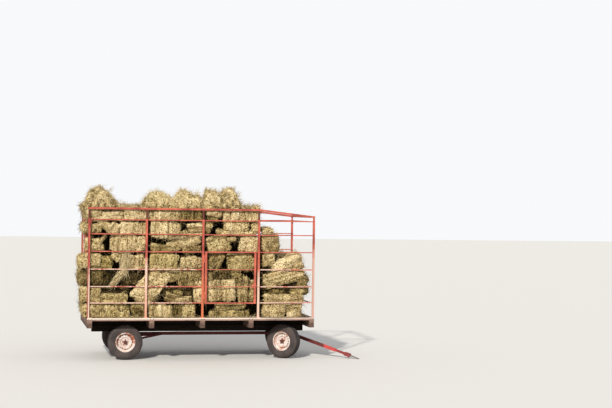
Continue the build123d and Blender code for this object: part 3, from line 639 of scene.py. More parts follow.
def dress(dice, made, perArea, kind="stalk", stretch=1.0, rise=1.0):  # stalks on what is open to view
    look = stalkLook
    corners = made["points"][made["quads"]]
    facing = np.cross(corners[:, 2] - corners[:, 0], corners[:, 3] - corners[:, 1])
    areas = np.linalg.norm(facing, axis=1) / 2
    facing /= 2 * areas[:, None] + 1e-9
    seen = np.zeros(len(areas), dtype=bool)
    for axis, sign in made["openTo"]:
        seen |= facing @ made["turn"][:, axis] * sign > look["facing"]
    weights = areas * seen
    count = int(weights.sum() * perArea)
    if count == 0:
        return None
    picked = dice.choice(len(areas), count, p=weights / weights.sum())
    share = dice.uniform(0, 1, (count, 2, 1))
    quad = corners[picked]
    low = quad[:, 0] * (1 - share[:, 0]) + quad[:, 1] * share[:, 0]
    high = quad[:, 3] * (1 - share[:, 0]) + quad[:, 2] * share[:, 0]
    normal = facing[picked]
    roots = low * (1 - share[:, 1]) + high * share[:, 1] - normal * look["rooted"]
    along = dice.normal(0, 1, (count, 3)) / made["grain"] ** look["follow"]
    along = along @ made["turn"].T
    along -= normal * np.sum(along * normal, axis=1)[:, None]
    lift, lengths, thick = (dice.uniform(*look[kind][title], count) for title in ("lift", "long", "thick"))
    along = unit(along) + normal * lift[:, None] * rise
    first = made["quads"][picked, 0]
    # stalks take the tone of the hay under them, painted shade included
    under = made["tones"][first]
    gain, least = look["inDark"]  # stalks vary less where the hay is dark
    tones = under + dice.normal(look["paler"], look["varied"], count) * np.clip(under * gain + least, 0, 1)
    greens = made["green"][first] + dice.normal(0, look["greenVaried"], count)
    return spikes(dice, roots, along, lengths * stretch, thick, np.clip(tones, 0, 1), np.clip(greens, 0, 1))


sheafLook = {  # how long and how thick, how much the shade varies, green share
    "long": ((0.12, 0.3), (0.003, 0.0055), 0.16, 0.0),
    "short": ((0.05, 0.14), (0.002, 0.004), 0.16, 0.0),
    "tuft": ((0.06, 0.16), (0.002, 0.0045), 0.15, 0.05),
    "tuftShade": 0.62, "tuftLoose": 0.35, "tuftWide": 0.03,
}


def strewn(dice, roots, along, kind, shade):
    lengths, thick, varied, green = sheafLook[kind]
    count = len(roots)
    return spikes(dice, roots, along, dice.uniform(*lengths, count), dice.uniform(*thick, count),
                  np.clip(dice.normal(shade, varied, count), 0, 1), np.full(count, green))


def sheaf(dice, path, reach, count, kind, shade, loose):  # stalks strewn along a line
    path = np.array(path, dtype=float)
    legs = path[1:] - path[:-1]
    sizes = np.linalg.norm(legs, axis=1)
    picked = dice.choice(len(legs), count, p=sizes / sizes.sum())
    share = dice.uniform(0, 1, (count, 1))
    roots = path[picked] + legs[picked] * share + dice.normal(0, 1, (count, 3)) * reach
    along = legs[picked] / sizes[picked][:, None] * dice.choice((-1, 1), (count, 1))
    along = along + dice.normal(0, loose, (count, 3))
    return strewn(dice, roots, along, kind, shade)


def tuft(dice, root, toward, count):  # stalks that fan out
    look = sheafLook
    roots = root + dice.normal(0, look["tuftWide"], (count, 3))
    along = np.array(toward) / np.linalg.norm(toward) + dice.normal(0, look["tuftLoose"], (count, 3))
    return strewn(dice, roots, along, "tuft", look["tuftShade"])


def cord(path, thick):  # a thin three-sided closed cord through a line of points
    along = unit(np.gradient(path, axis=0))
    side = unit(np.cross(along, offAxis))
    points = np.stack(threeSides(path, side, np.cross(along, side), thick), axis=1).reshape(-1, 3)
    last = len(points) - 3
    ends = [(2, 1, 0, 0), (last, last + 1, last + 2, last + 2)]
    return points, ringQuads(0, len(path), 3) + ends


twineLook = {"thick": 0.002, "out": 0.002, "points": 14, "sway": 0.006, "near": 0.035,
             "places": (-0.42, 0.42), "long": 0.98, "onFace": 80, "tuckedIn": 0.04, "tone": 0.5}


def twines(dice, made):  # two round each bale, seen where they cross its open face
    if made["way"] == "loose":
        return []
    look = twineLook
    across = 0 if made["way"] == "side" else 2
    other = 2 - across
    half = made["half"]
    parts = []
    # the twine takes the bale's painted shade as well
    strength = min(1.0, 2 * made["tones"].mean())  # fainter on a dark bale
    for side in {sign for axis, sign in made["openTo"] if axis == 1}:
        for place in look["places"]:
            path = np.zeros((look["points"], 3))
            path[:, across] = np.linspace(-half[across], half[across], look["points"]) * look["long"]
            path[:, other] = place * half[other] + dice.normal(0, look["sway"], look["points"])
            path = path @ made["turn"].T + made["middle"]
            for spot in path:  # out to the hay's own face
                aside = made["points"][:, [0, 2]] - spot[[0, 2]]
                close = np.hypot(aside[:, 0], aside[:, 1]) < look["near"]
                if close.any():
                    face = np.percentile(made["points"][close, 1] * side, look["onFace"])
                    spot[1] = side * (face + look["out"])
            path[[0, -1], 1] -= side * look["tuckedIn"]
            points, quads = cord(path, look["thick"])
            parts.append({"points": points, "quads": quads, "tones": np.full(len(points), look["tone"]),
                          "green": np.zeros(len(points)), "twine": np.full(len(points), strength)})
    return parts


stalkRoom = 0.05  # how far the hay may stand out past the CAD model's box
stalkStreaks = 25  # streaks per metre on a stalk
deckClear = 0.001  # how far above the deck the hay stays


def bentBack(points):  # stalks bend back before they reach too far out
    (xLow, yLow, _), (_, yHigh, zHigh) = cadBox
    for axis, way, edge in ((0, -1, -xLow), (1, -1, -yLow), (1, 1, yHigh), (2, 1, zHigh)):
        edge -= stalkRoom / 3
        over = np.maximum(points[:, axis] * way - edge, 0)
        points[:, axis] -= way * (over - stalkRoom * np.tanh(over / stalkRoom))
    points[:, 2] = np.maximum(points[:, 2], deckTop + deckClear)  # nothing hangs through the deck
    return points


def addHay(name, node, parts):  # one piece in place of a node, from its bales, twines and stalks
    parts = [part for part in parts if part]
    faces = []
    start = 0
    for part in parts:
        part.setdefault("twine", np.zeros(len(part["points"])))
        part.setdefault("own", part["points"] * stalkStreaks)
        for face in part["quads"]:
            corners = [int(corner) + start for corner in face]
            faces.append(corners[:3] if corners[2] == corners[-1] else corners)
        start += len(part["points"])
    points, *marks = (np.concatenate([part[title] for part in parts])
                      for title in ("points", "tones", "green", "twine", "own"))
    marks = dict(zip(("tones", "green", "twine", "own"), marks))
    piece = addPiece(name, bentBack(points), faces, "hay", bodyOf[node], marks)
    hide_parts(node)
    print(name, len(points), "points", sum(len(face) - 2 for face in faces), "triangles")


# The near row as it was stacked, tier by tier from the rear: middle along the deck, middle above
# the deck, length, height, lean in degrees (front end up), way the flakes lie, shade, green share
# a shade below the dark limit is painted shade: such a bale stands for hay set back in shadow
nearRow = {
    1: ((0.41, 0.21, 0.72, 0.14, 0, "side", 0.64, 0.3), (0.47, 0.065, 0.86, 0.14, 0, "side", 0.64, 0.4),
        (0.84, 0.2, 0.12, 0.13, 8, "end", 0.35, 0.5),
        (1.08, 0.135, 0.3, 0.27, 0, "end", 0.36, 0.5), (1.55, 0.13, 0.52, 0.26, 0, "side", 0.62, 0.2),
        (1.92, 0.135, 0.17, 0.27, -4, "side", 0.35, 0.6), (2.16, 0.14, 0.31, 0.28, 0, "side", 0.55, 0.4),
        (3.04, 0.075, 0.86, 0.15, 0, "side", 0.55, 0.5), (3.07, 0.22, 0.66, 0.13, 4, "flat", 0.5, 0.3),
        (4.0, 0.145, 0.49, 0.29, 0, "end", 0.58, 0.0), (4.46, 0.06, 0.33, 0.12, 0, "side", 0.66, 0.0),
        (4.47, 0.185, 0.34, 0.13, 5, "flat", 0.45, 0.0)),
    2: ((0.46, 0.4, 0.82, 0.21, 0, "end", 0.54, 0.4), (0.5, 0.6, 0.8, 0.17, 0, "side", 0.06, 0.2),
        (1.36, 0.69, 0.88, 0.48, 52, "end", 0.66, 0.0), (1.78, 0.43, 0.28, 0.18, -15, "flat", 0.55, 0.1),
        (1.95, 0.52, 0.22, 0.1, -10, "flat", 0.38, 0.5), (2.05, 0.385, 0.38, 0.11, 0, "flat", 0.64, 0.0),
        (1.85, 0.56, 0.8, 0.22, 0, "side", 0.08, 0.2), (2.72, 0.56, 0.9, 0.45, 4, "side", 0.64, 0.0),
        (3.33, 0.6, 0.21, 0.54, 4, "side", 0.46, 0.2), (3.56, 0.57, 0.17, 0.48, -3, "end", 0.4, 0.2),
        (4.22, 0.43, 0.88, 0.16, 0, "flat", 0.54, 0.0), (4.43, 0.31, 0.46, 0.1, -2, "flat", 0.6, 0.0)),
    3: ((0.2, 0.84, 0.26, 0.28, 0, "end", 0.3, 0.5), (0.5, 0.85, 0.34, 0.27, 0, "side", 0.07, 0.4),
        (0.95, 0.84, 0.46, 0.28, 0, "side", 0.08, 0.1), (1.79, 0.87, 0.22, 0.15, 10, "flat", 0.42, 0.3),
        (2.16, 0.84, 0.5, 0.32, 0, "side", 0.42, 0.3), (2.61, 0.87, 0.12, 0.24, 0, "side", 0.46, 0.5),
        (2.9, 0.9, 0.45, 0.2, 0, "side", 0.07, 0.1), (3.2, 0.89, 0.2, 0.27, 15, "end", 0.27, 0.5),
        (4.2, 0.87, 0.92, 0.32, 14, "flat", 0.58, 0.1), (4.0, 0.565, 0.24, 0.13, 0, "end", 0.35, 0.6),
        (4.55, 0.6, 0.34, 0.16, 14, "flat", 0.5, 0.5), (4.2, 0.6, 0.88, 0.2, 0, "side", 0.05, 0.0),
        (4.66, 0.78, 0.2, 0.3, -25, "loose", 0.3, 0.2), (4.7, 0.6, 0.16, 0.2, 10, "loose", 0.24, 0.3)),
    4: ((0.3, 1.17, 0.46, 0.27, 0, "end", 0.58, 0.8), (0.62, 1.3, 0.2, 0.2, -30, "end", 0.5, 0.1),
        (1.0, 1.19, 0.4, 0.28, 0, "side", 0.58, 0.0), (1.22, 1.16, 0.12, 0.2, 0, "end", 0.5, 0.1),
        (1.62, 1.19, 0.62, 0.36, -8, "side", 0.62, 0.6), (2.2, 1.17, 0.46, 0.24, 0, "side", 0.68, 0.1),
        (2.73, 1.22, 0.42, 0.32, 64, "flat", 0.52, 0.3), (3.28, 1.18, 0.58, 0.33, 4, "end", 0.46, 0.4),
        (3.89, 1.22, 0.27, 0.27, 0, "end", 0.55, 0.1), (4.3, 1.15, 0.72, 0.22, 22, "loose", 0.72, 0.0),
        (4.42, 1.25, 0.42, 0.17, 26, "loose", 0.7, 0.0), (4.56, 1.14, 0.26, 0.2, -50, "loose", 0.62, 0.0)),
    5: ((0.23, 1.49, 0.22, 0.12, 4, "end", 0.6, 0.2), (0.15, 1.62, 0.3, 0.07, -46, "flat", 0.5, 0.4),
        (0.3, 1.63, 0.26, 0.05, 50, "flat", 0.4, 0.1),
        (0.86, 1.58, 0.76, 0.3, 0, "side", 0.66, 0.0), (1.56, 1.465, 0.48, 0.18, -5, "flat", 0.5, 0.4),
        (2.05, 1.6, 0.74, 0.2, 14, "flat", 0.62, 0.1), (2.23, 1.47, 0.42, 0.16, 0, "side", 0.46, 0.2),
        (2.77, 1.58, 0.5, 0.32, 14, "flat", 0.56, 0.3), (3.06, 1.68, 0.22, 0.09, 6, "flat", 0.54, 0.3),
        (3.46, 1.58, 0.42, 0.33, -8, "end", 0.6, 0.1), (3.93, 1.6, 0.36, 0.37, 0, "end", 0.54, 0.1),
        (3.86, 1.87, 0.22, 0.1, 0, "flat", 0.62, 0.2)),
    6: ((0.15, 1.87, 0.24, 0.14, -46, "end", 0.74, 0.1), (0.35, 1.98, 0.34, 0.17, -46, "flat", 0.62, 0.1),
        (0.56, 1.87, 0.26, 0.24, 58, "flat", 0.6, 0.0), (0.96, 1.9, 0.56, 0.26, 0, "side", 0.76, 0.0),
        (1.64, 1.86, 0.66, 0.34, -2, "side", 0.74, 0.1), (2.03, 1.77, 0.18, 0.14, 24, "flat", 0.5, 0.1),
        (2.28, 1.87, 0.34, 0.25, 4, "flat", 0.62, 0.1), (2.55, 1.93, 0.2, 0.22, -24, "end", 0.46, 0.1),
        (2.84, 1.86, 0.24, 0.11, -10, "flat", 0.56, 0.3), (3.17, 1.96, 0.56, 0.2, -3, "side", 0.76, 0.2),
        (3.22, 1.805, 0.74, 0.07, 2, "flat", 0.7, 0.1), (3.58, 1.93, 0.16, 0.22, 0, "end", 0.58, 0.3)),
    7: ((0.4, 2.15, 0.72, 0.17, 2, "flat", 0.76, 0.1), (1.0, 2.2, 0.54, 0.26, 0, "end", 0.74, 0.2),
        (1.63, 2.21, 0.68, 0.26, 0, "side", 0.68, 0.2), (2.02, 2.2, 0.14, 0.26, 0, "side", 0.24, 0.5),
        (2.27, 2.22, 0.36, 0.28, 0, "side", 0.5, 0.7),
        (2.69, 2.25, 0.32, 0.16, -12, "flat", 0.68, 0.0), (2.65, 2.12, 0.24, 0.1, 0, "end", 0.36, 0.4),
        (3.15, 2.2, 0.56, 0.27, 0, "side", 0.76, 0.1), (3.55, 2.2, 0.22, 0.27, 0, "end", 0.74, 0.1)),
}
rowLook = {
    "near": -1.118, "deep": 0.46, "darkSet": 0.09, "setBack": (0, 0.03), "dark": 0.2, "upright": 30,
    "seed": 100, "swellSeed": 50, "topBar": 0.04,
    "stalks": 520, "farStalks": 330, "wisps": 170, "press": 0.022,
    # the other bales: shade, green shares, lean; the near ones show only their rear ends
    "shade": (0.53, 0.12), "shades": (0.2, 0.8), "greens": (0.0, 0.1, 0.3, 0.7), "lean": 3.5, "sideways": 0.2,
    "nearShade": {2: 0.5, 3: 0.36}, "plugShade": 0.72, "plugGreen": 0.2, "plugDim": 0.8, "nearY": 0.65,
    "railHalf": 0.012, "plugSet": 0.05, "plugEnd": 0.3, "plugLow": 0.97, "behindRails": 0.085, "loose": 0.985,
    # how the hay swells out between the rails
    "sideBulge": 0.03, "rearBulge": 0.02, "railRoom": 0.035, "swell": (0.6, 0.4), "swellSize": 0.16,
    "sideFrom": (1.0, 1.1), "rearFrom": (0.08, 0.2), "topRoom": 0.3, "roomMost": 0.14,
    "rearShows": 0.2, "frontShows": 0.1,  # how far inside an open face a bale may begin
}
looseHay = {  # what hangs or lies loose: a line from the deck's rear end, reach, count, kind, shade, spread
    1: ((((0.2, -1.13, 0.015), (4.3, -1.13, 0.012)), (0.02, 0.012, 0.006), 420, "short", 0.62, 0.4),
        (((4.7, -0.9, 0.01), (4.72, 0.9, 0.01)), (0.05, 0.05, 0.004), 380, "short", 0.6, 1.0)),
    2: ((((1.36, -1.12, 0.42), (1.16, -1.125, 0.36)), (0.05, 0.008, 0.03), 120, "long", 0.66, 0.35),),
    3: ((((0.79, -1.1, 1.04), (0.7, -1.12, 0.92), (0.6, -1.12, 0.79)), (0.026, 0.01, 0.015), 900, "long",
         0.84, 0.15),
        (((2.5, -1.1, 0.98), (2.62, -1.1, 0.8)), (0.05, 0.01, 0.03), 110, "long", 0.55, 0.4)),
    4: ((((0.8, -1.1, 1.3), (0.8, -1.12, 1.18), (0.78, -1.11, 1.02)), (0.04, 0.01, 0.02), 800, "long",
         0.82, 0.17),
        (((2.0, -1.1, 1.04), (1.75, -1.12, 1.0)), (0.05, 0.01, 0.02), 130, "long", 0.64, 0.4)),
    6: ((((1.8, -1.1, 1.72), (2.2, -1.12, 1.66)), (0.06, 0.012, 0.03), 150, "long", 0.6, 0.45),),
}
tierBoxes = {tier: looseParts(f"bales_tier_{tier}") for tier in nearRow}
tierFronts = {tier: max(high[0] for low, high in boxes) for tier, boxes in tierBoxes.items()}
railLevels = sorted({round(float((low[2] + high[2]) / 2), 3) for low, high in looseParts("rear_rails")})
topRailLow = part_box("rear_frame")[1].z - rowLook["topBar"]


def betweenRails(heights):  # 1 midway between two rails and 0 at a rail
    levels = np.array([deckTop] + railLevels + [railLevels[-1] + rowLook["topRoom"]])
    above = np.clip(np.searchsorted(levels, heights), 1, len(levels) - 1)
    gap = levels[above] - levels[above - 1]
    room = np.minimum(heights - levels[above - 1], levels[above] - heights)
    return smoothStep(room, rowLook["railRoom"], np.minimum(gap / 2, rowLook["roomMost"]))


def pushOut(points, seed):  # hay swells out between the rails
    look = rowLook
    least, most = look["swell"]
    swell = betweenRails(points[:, 2]) * (least + most * lumps(points, look["swellSize"], seed))
    side = np.sign(points[:, 1])
    atSide = smoothStep(np.abs(points[:, 1]), *look["sideFrom"])
    points[:, 1] += side * atSide * swell * look["sideBulge"]
    atRear = 1 - smoothStep(points[:, 0], *(rearX + place for place in look["rearFrom"]))
    points[:, 0] -= atRear * swell * look["rearBulge"]
    return points


def plugHeights(low, high):  # the tallest room between the rear rails within a bale's height
    half = rowLook["railHalf"]
    edges = [low]
    for level in railLevels:
        if low < level + half and level - half < high:
            edges += [level - half, level + half]
    edges.append(min(high, topRailLow))
    return max(zip(edges[::2], edges[1::2]), key=lambda room: room[1] - room[0])


def openings(start, end, tier, sides):  # the faces of a bale that show from outside
    found = list(sides)
    if start < rearX + rowLook["rearShows"]:
        found.append((0, -1))
    if end > tierFronts[tier] - rowLook["frontShows"]:
        found.append((0, 1))
    if end > tierFronts.get(tier + 1, -math.inf) + rowLook["frontShows"]:
        found.append((2, 1))
    return tuple(found)


def nearBales(dice, tier):
    look = rowLook
    for x, z, long, high, lean, way, shade, green in nearRow[tier]:
        # a bale darker than the dark limit is set back, and its low shade is painted shade
        setBack = look["darkSet"] if shade < look["dark"] else dice.uniform(*look["setBack"])
        deep = look["deep"] - setBack
        middle = (rearX + x, look["near"] + setBack + deep / 2, deckTop + z)
        turned = 0 if abs(lean) > look["upright"] else 1
        high += look["press"] * turned
        openTo = openings(rearX + x - long / 2 * turned, rearX + x + long / 2 * turned, tier, ((1, -1),))
        yield bale(dice, middle, (long, deep, high), way, lean, shade, green, openTo), look["stalks"]


def otherBales(dice, tier):  # the far side, both ends and what shows from above
    look = rowLook
    spacing, stalks = baleLook["farSpacing"], look["farStalks"]
    for low, high in tierBoxes[tier]:
        y = (low[1] + high[1]) / 2
        nearOne, farOne = y < -look["nearY"], y > look["nearY"]
        shade = np.clip(dice.normal(*look["shade"]), *look["shades"])
        grass = dice.choice(look["greens"])
        if nearOne:
            shade, grass = look["nearShade"].get(tier, look["plugShade"]), look["plugGreen"]
        if low[0] < rearX:  # the end that sticks out past the rear rails
            room = plugHeights(low[2], high[2])
            start, end = low[0] + look["plugSet"], rearX + look["plugEnd"]
            middle = ((start + end) / 2, y, sum(room) / 2)
            size = (end - start, high[1] - low[1], (room[1] - room[0]) * look["plugLow"])
            openTo = ((0, -1), (1, -1)) if nearOne else ((0, -1),)
            # painted shade: the ends past the rear rails are dimmed
            plugShadedTone = shade * look["plugDim"]
            yield bale(dice, middle, size, "end", 0.0, plugShadedTone, grass, openTo, spacing), stalks
            low = np.array((rearX + look["behindRails"], low[1], low[2]))
        if nearOne:
            continue
        way = "end" if not farOne or dice.random() < look["sideways"] else "side"
        openTo = openings(low[0], high[0], tier, ((1, 1),) if farOne else ()) or ((2, 1),)
        lean = dice.normal(0, look["lean"])
        size = (high - low) * look["loose"]
        yield (bale(dice, (low + high) / 2, size, way, lean, shade, grass, openTo, spacing),
               stalks if farOne or low[0] < rearX + look["rearShows"] else stalks / 2)


def makeTier(tier):
    look = rowLook
    dice = np.random.default_rng(look["seed"] + tier)
    parts = []
    for number, (one, perArea) in enumerate([*nearBales(dice, tier), *otherBales(dice, tier)]):
        one["points"] = pushOut(one["points"], look["swellSeed"] + number)
        parts += [one, *twines(dice, one), dress(dice, one, perArea), dress(dice, one, look["wisps"], "wisp")]
    for path, *rest in looseHay.get(tier, ()):
        parts.append(sheaf(dice, [(rearX + x, y, deckTop + z) for x, y, z in path], *rest))
    addHay(f"hayTier{tier}", f"bales_tier_{tier}", parts)


for tier in nearRow:
    makeTier(tier)

# The loose pile on top follows the solid's own heights along and across the load
pileLook = {
    "along": ((-0.14, 0.02), (-0.06, 0.13), (0.0, 0.23), (0.06, 0.35), (0.16, 0.43), (0.24, 0.48),
              (0.32, 0.43), (0.42, 0.34), (0.5, 0.25), (0.58, 0.13), (0.65, 0.045), (0.8, 0.06),
              (1.0, 0.04), (1.15, 0.06), (1.19, 0.17), (1.26, 0.25), (1.36, 0.34), (1.5, 0.37),
              (1.6, 0.345), (1.68, 0.25), (1.76, 0.19), (1.86, 0.2), (1.93, 0.33), (2.0, 0.405),
              (2.08, 0.41), (2.18, 0.37), (2.28, 0.33), (2.35, 0.22), (2.41, 0.12), (2.48, 0.22),
              (2.55, 0.39), (2.64, 0.42), (2.74, 0.38), (2.82, 0.3), (2.91, 0.37), (3.0, 0.44),
              (3.08, 0.48), (3.14, 0.37), (3.2, 0.24), (3.26, 0.11), (3.33, 0.05), (3.64, 0.05),
              (3.66, 0.02)),
    "across": ((-1.1, 0.03), (-1.07, 0.17), (-1.0, 0.29), (-0.9, 0.4), (-0.6, 0.5), (0.5, 0.5), (0.88, 0.4),
               (1.04, 0.19), (1.09, 0.03)),
    # the pile in three rows: from and to across the load, shift along, share of the height, spacing
    "rows": ((-1.1, -0.36, 0.0, 1.0, 0.026), (-0.42, 0.4, 0.07, 0.92, 0.042),
             (0.34, 1.09, -0.06, 0.86, 0.042)),
    "crest": -0.75, "slant": 0.216, "slantMost": 0.18,  # a row behind stays under the first along this slant
    "lump": 0.035, "lumpSize": 0.15, "knot": 0.024, "knotSize": 0.055, "sink": 0.045, "base": 0.06,
    "lumpDown": 0.25, "wander": 0.05, "wanderSize": 0.3, "jitter": 0.004, "squash": (0.9, 0.9, 0.6),
    "streaks": (22, 24, 16), "bends": (3, 3, 1), "bendSize": 0.25, "grain": (0.8, 0.8, 0.6),
    # painted shade: darker in dips and at the pile's foot
    "tone": 0.58, "lumpTone": 0.2, "knotTone": 0.55, "darkUnder": 0.14, "darkKept": 0.72,
    "green": ((0.6, 0.0), (1.2, 0.35), (1.7, 0.35), (2.0, 0.25), (2.5, 0.2), (2.7, 0.0)),
    "paler": ((0.8, 0.0), (1.25, 0.2), (2.25, 0.2), (2.5, 0.0)),
    # what grows out of each row: kind, how many on a square metre, longer by, steeper by
    "dress": (("stalk", 1700, 1.0, 0.45), ("wisp", 520, 1.1, 0.8)), "farShare": 0.4,
    "seed": 9, "cellsUp": 10, "least": 0.02, "greenLump": 0.1, "greenSize": 0.6,
    "upMore": 1.2, "upLeast": 0.05, "edges": 5,
    # where stalks stand out against the sky: place along, place across, height, toward, count
    "tufts": (
    (-0.08, -0.98, 0.03, (-0.9, 0, -0.25), 40), (-0.04, -0.95, 0.1, (-0.8, 0, -0.6), 30),
    (0.1, -0.8, 0.34, (-0.5, 0, 1), 16), (0.27, -0.75, 0.4, (0.1, 0, 1), 24),
    (0.45, -0.8, 0.34, (0.6, 0, 0.6), 16), (1.24, -0.8, 0.16, (-0.7, 0, 0.5), 16),
    (2.0, -0.75, 0.34, (0.1, 0, 1), 14), (2.34, -0.8, 0.3, (0.5, 0, 0.8), 16),
    (2.58, -0.78, 0.33, (-0.3, 0, 1), 40), (2.74, -0.76, 0.34, (0.15, 0, 1), 30),
    (2.93, -0.76, 0.34, (-0.15, 0, 1), 44), (3.03, -0.72, 0.37, (0, 0, 1), 44),
    (3.12, -0.72, 0.38, (0.25, 0, 1), 70), (3.2, -0.8, 0.27, (0.9, 0, 0.5), 50),
    (3.27, -0.9, 0.1, (0.9, 0, 0.4), 40), (3.55, -0.8, 0.03, (0.5, 0, 0.6), 30),
    ),
}
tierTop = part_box("bales_tier_7")[1].z


def pileRow(dice, start, end, shift, share, spacing):
    look = pileLook
    low = tierTop - look["base"]
    xLow, xHigh = look["along"][0][0], look["along"][-1][0]
    counts = (round((xHigh - xLow) / spacing), round((end - start) / spacing), look["cellsUp"])
    lattice, quads = boxGrid(counts)
    part = lattice / np.array(counts)
    y = start + (end - start) * part[:, 1]
    behind = np.maximum(y - look["crest"], 0) * look["slant"]
    xStart = xLow + np.minimum(behind, look["slantMost"])
    x = xStart + (xHigh - xStart) * part[:, 0]
    seed = int(dice.integers(1 << 16))
    wander = lumps(np.stack((x, y, np.zeros(len(x))), axis=1), look["wanderSize"], seed + 5) * look["wander"]
    height = share * lookUp(look["along"], x - shift + wander)
    height = np.minimum(height, lookUp(look["along"], x - behind + wander))
    height = np.minimum(height, lookUp(look["across"], y) + wander)
    height = np.maximum(height - look["sink"], look["least"])
    points = np.stack((rearX + x, y, low + (height + look["base"]) * part[:, 2]), axis=1)
    # outward: straight off the middle of a face, and slanting near its edges
    away = np.stack((part[:, 0] * 2 - 1, part[:, 1] * 2 - 1, part[:, 2] * look["upMore"]), axis=1)
    away = away ** look["edges"]
    away[:, 2] += look["upLeast"]
    lump = lumps(points, look["lumpSize"], seed)
    knot = lumps(points * look["squash"], look["knotSize"], seed + 1)
    points += unit(away) * (look["lump"] * (lump - look["lumpDown"]) + look["knot"] * knot)[:, None]
    points += dice.normal(0, look["jitter"], points.shape)
    # painted shade at the pile's foot
    clearOfFootShade = smoothStep(height * part[:, 2], 0.0, look["darkUnder"])
    # painted shade: darker in dips, paler on lumps
    tones = look["tone"] + lookUp(look["paler"], x) + look["lumpTone"] * lump + look["knotTone"] * knot
    tones = np.clip(tones, 0, 1) * (look["darkKept"] + (1 - look["darkKept"]) * clearOfFootShade)
    green = lookUp(look["green"], x) + look["greenLump"] * lumps(points, look["greenSize"], seed + 3)
    green = np.clip(green, 0, 1)
    bend = lumps(points, look["bendSize"], seed + 7)[:, None] * look["bends"]
    return {"points": points, "quads": quads, "tones": tones, "green": green, "turn": np.eye(3),
            "own": points * look["streaks"] + bend, "grain": np.array(look["grain"]),
            "openTo": ((2, 1), (0, -1), (0, 1), (1, -1), (1, 1))}


def makePile():
    look = pileLook
    dice = np.random.default_rng(look["seed"])
    parts = []
    for number, row in enumerate(look["rows"]):
        one = pileRow(dice, *row)
        share = look["farShare"] if number else 1.0
        parts.append(one)
        for kind, perArea, longer, steeper in look["dress"]:
            parts.append(dress(dice, one, perArea * share, kind, longer, steeper))
    for x, y, z, toward, count in look["tufts"]:
        parts.append(tuft(dice, (rearX + x, y, tierTop + z), toward, count))
    addHay("hayTop", "bales_top", parts)


makePile()

# Tyres: ribbed tread and ringed walls, turned about each wheel's own line. The profile runs from
# the lining round the bead and the wall to the tread's middle: radius, half-width, zigzag and dust shares.
tyreShape = {
    "around": 160, "zigzag": 0.0045, "points": 40, "notch": 0.004, "notchEvery": 4, "shoulder": (0.362, 0.06),
    "profile": (
        (0.3485, 0, 0, 0.2), (0.341, 0.068, 0, 0.2), (0.279, 0.095, 0, 0.2), (0.1965, 0.071, 0, 0.3),
        (0.1965, 0.0885, 0, 0.6), (0.204, 0.0955, 0, 0.9), (0.212, 0.0995, 0, 0.8), (0.219, 0.101, 0, 0.6),
        (0.2215, 0.1045, 0, 0.5), (0.2265, 0.105, 0, 0.5), (0.229, 0.104, 0, 0.8), (0.243, 0.1075, 0, 0.5),
        (0.258, 0.111, 0, 0.5), (0.262, 0.113, 0, 0.4), (0.266, 0.1135, 0, 0.4), (0.269, 0.1125, 0, 0.7),
        (0.285, 0.1145, 0, 0.5), (0.301, 0.1135, 0, 0.4), (0.316, 0.1105, 0, 0.6), (0.319, 0.1115, 0, 0.4),
        (0.3225, 0.1105, 0, 0.4), (0.325, 0.1075, 0, 0.8), (0.337, 0.1025, 0, 0.7), (0.347, 0.0975, 0, 0.6),
        (0.356, 0.093, 0, 0.5), (0.3625, 0.0885, 0, 0.3), (0.367, 0.0815, 0, 0.1), (0.3692, 0.076, 0, 0.0),
        (0.3705, 0.064, 1, 0.0), (0.3705, 0.056, 1, 0.1), (0.361, 0.0545, 1, 1.0), (0.361, 0.048, 1, 1.0),
        (0.3718, 0.0465, 1, 0.1), (0.3735, 0.033, 1, 0.0), (0.3735, 0.025, 1, 0.1), (0.364, 0.0238, 1, 1.0),
        (0.364, 0.0172, 1, 1.0), (0.3742, 0.016, 1, 0.1), (0.375, 0, 0, 0.0)),
}


def tyreMesh(centre, outboard):
    look = tyreShape
    half = np.array(look["profile"])
    loop = np.concatenate((half, half[-2:0:-1] * (1, -1, 1, 1)))
    radii, sides, zigzags, dust = loop.T
    around, count = look["around"], len(loop)
    steps = np.arange(around)
    wave = np.abs((steps * look["points"] / around * 2) % 2 - 1) * 2 - 1
    radius = np.repeat(radii[None], around, axis=0)
    width = sides[None] + zigzags[None] * wave[:, None] * look["zigzag"] * np.sign(sides)[None]
    atEdge = (radii > look["shoulder"][0]) & (np.abs(sides) > look["shoulder"][1])
    radius[:, atEdge] -= look["notch"] * (steps % look["notchEvery"] == 0)[:, None]
    outboard = np.array(outboard)
    out = circle(upward, np.cross(upward, outboard), around)[:, None]
    points = np.array(centre) + radius[:, :, None] * out + width[:, :, None] * outboard
    return points.reshape(-1, 3), ringQuads(0, around, count, closed=True), np.tile(dust, around)


def titleOf(body, ending):  # rear_left_wheel and Tread give rearLeftTread
    end, side = body.split("_")[:2]
    return end + side.capitalize() + ending


joints = {joint["name"]: joint for joint in behaviour["joints"]}
spins = {joint["child"]: joint for name, joint in joints.items() if name.endswith("wheel_spin")}
for body, joint in spins.items():
    points, quads, dust = tyreMesh(joint["pos_m"], joint["axis"])
    piece = addPiece(titleOf(body, "Tread"), points, quads, "tyre_rubber", body, {"dust": dust}, smooth=True)
    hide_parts(body.replace("_wheel", "_tyre"))
print("tyres made", len(spins))

# Blocking boards stand on the two sills between the cross beams, dark with the frame timber's painted shade
blockLook = {"thick": 0.04, "inward": 0.045}


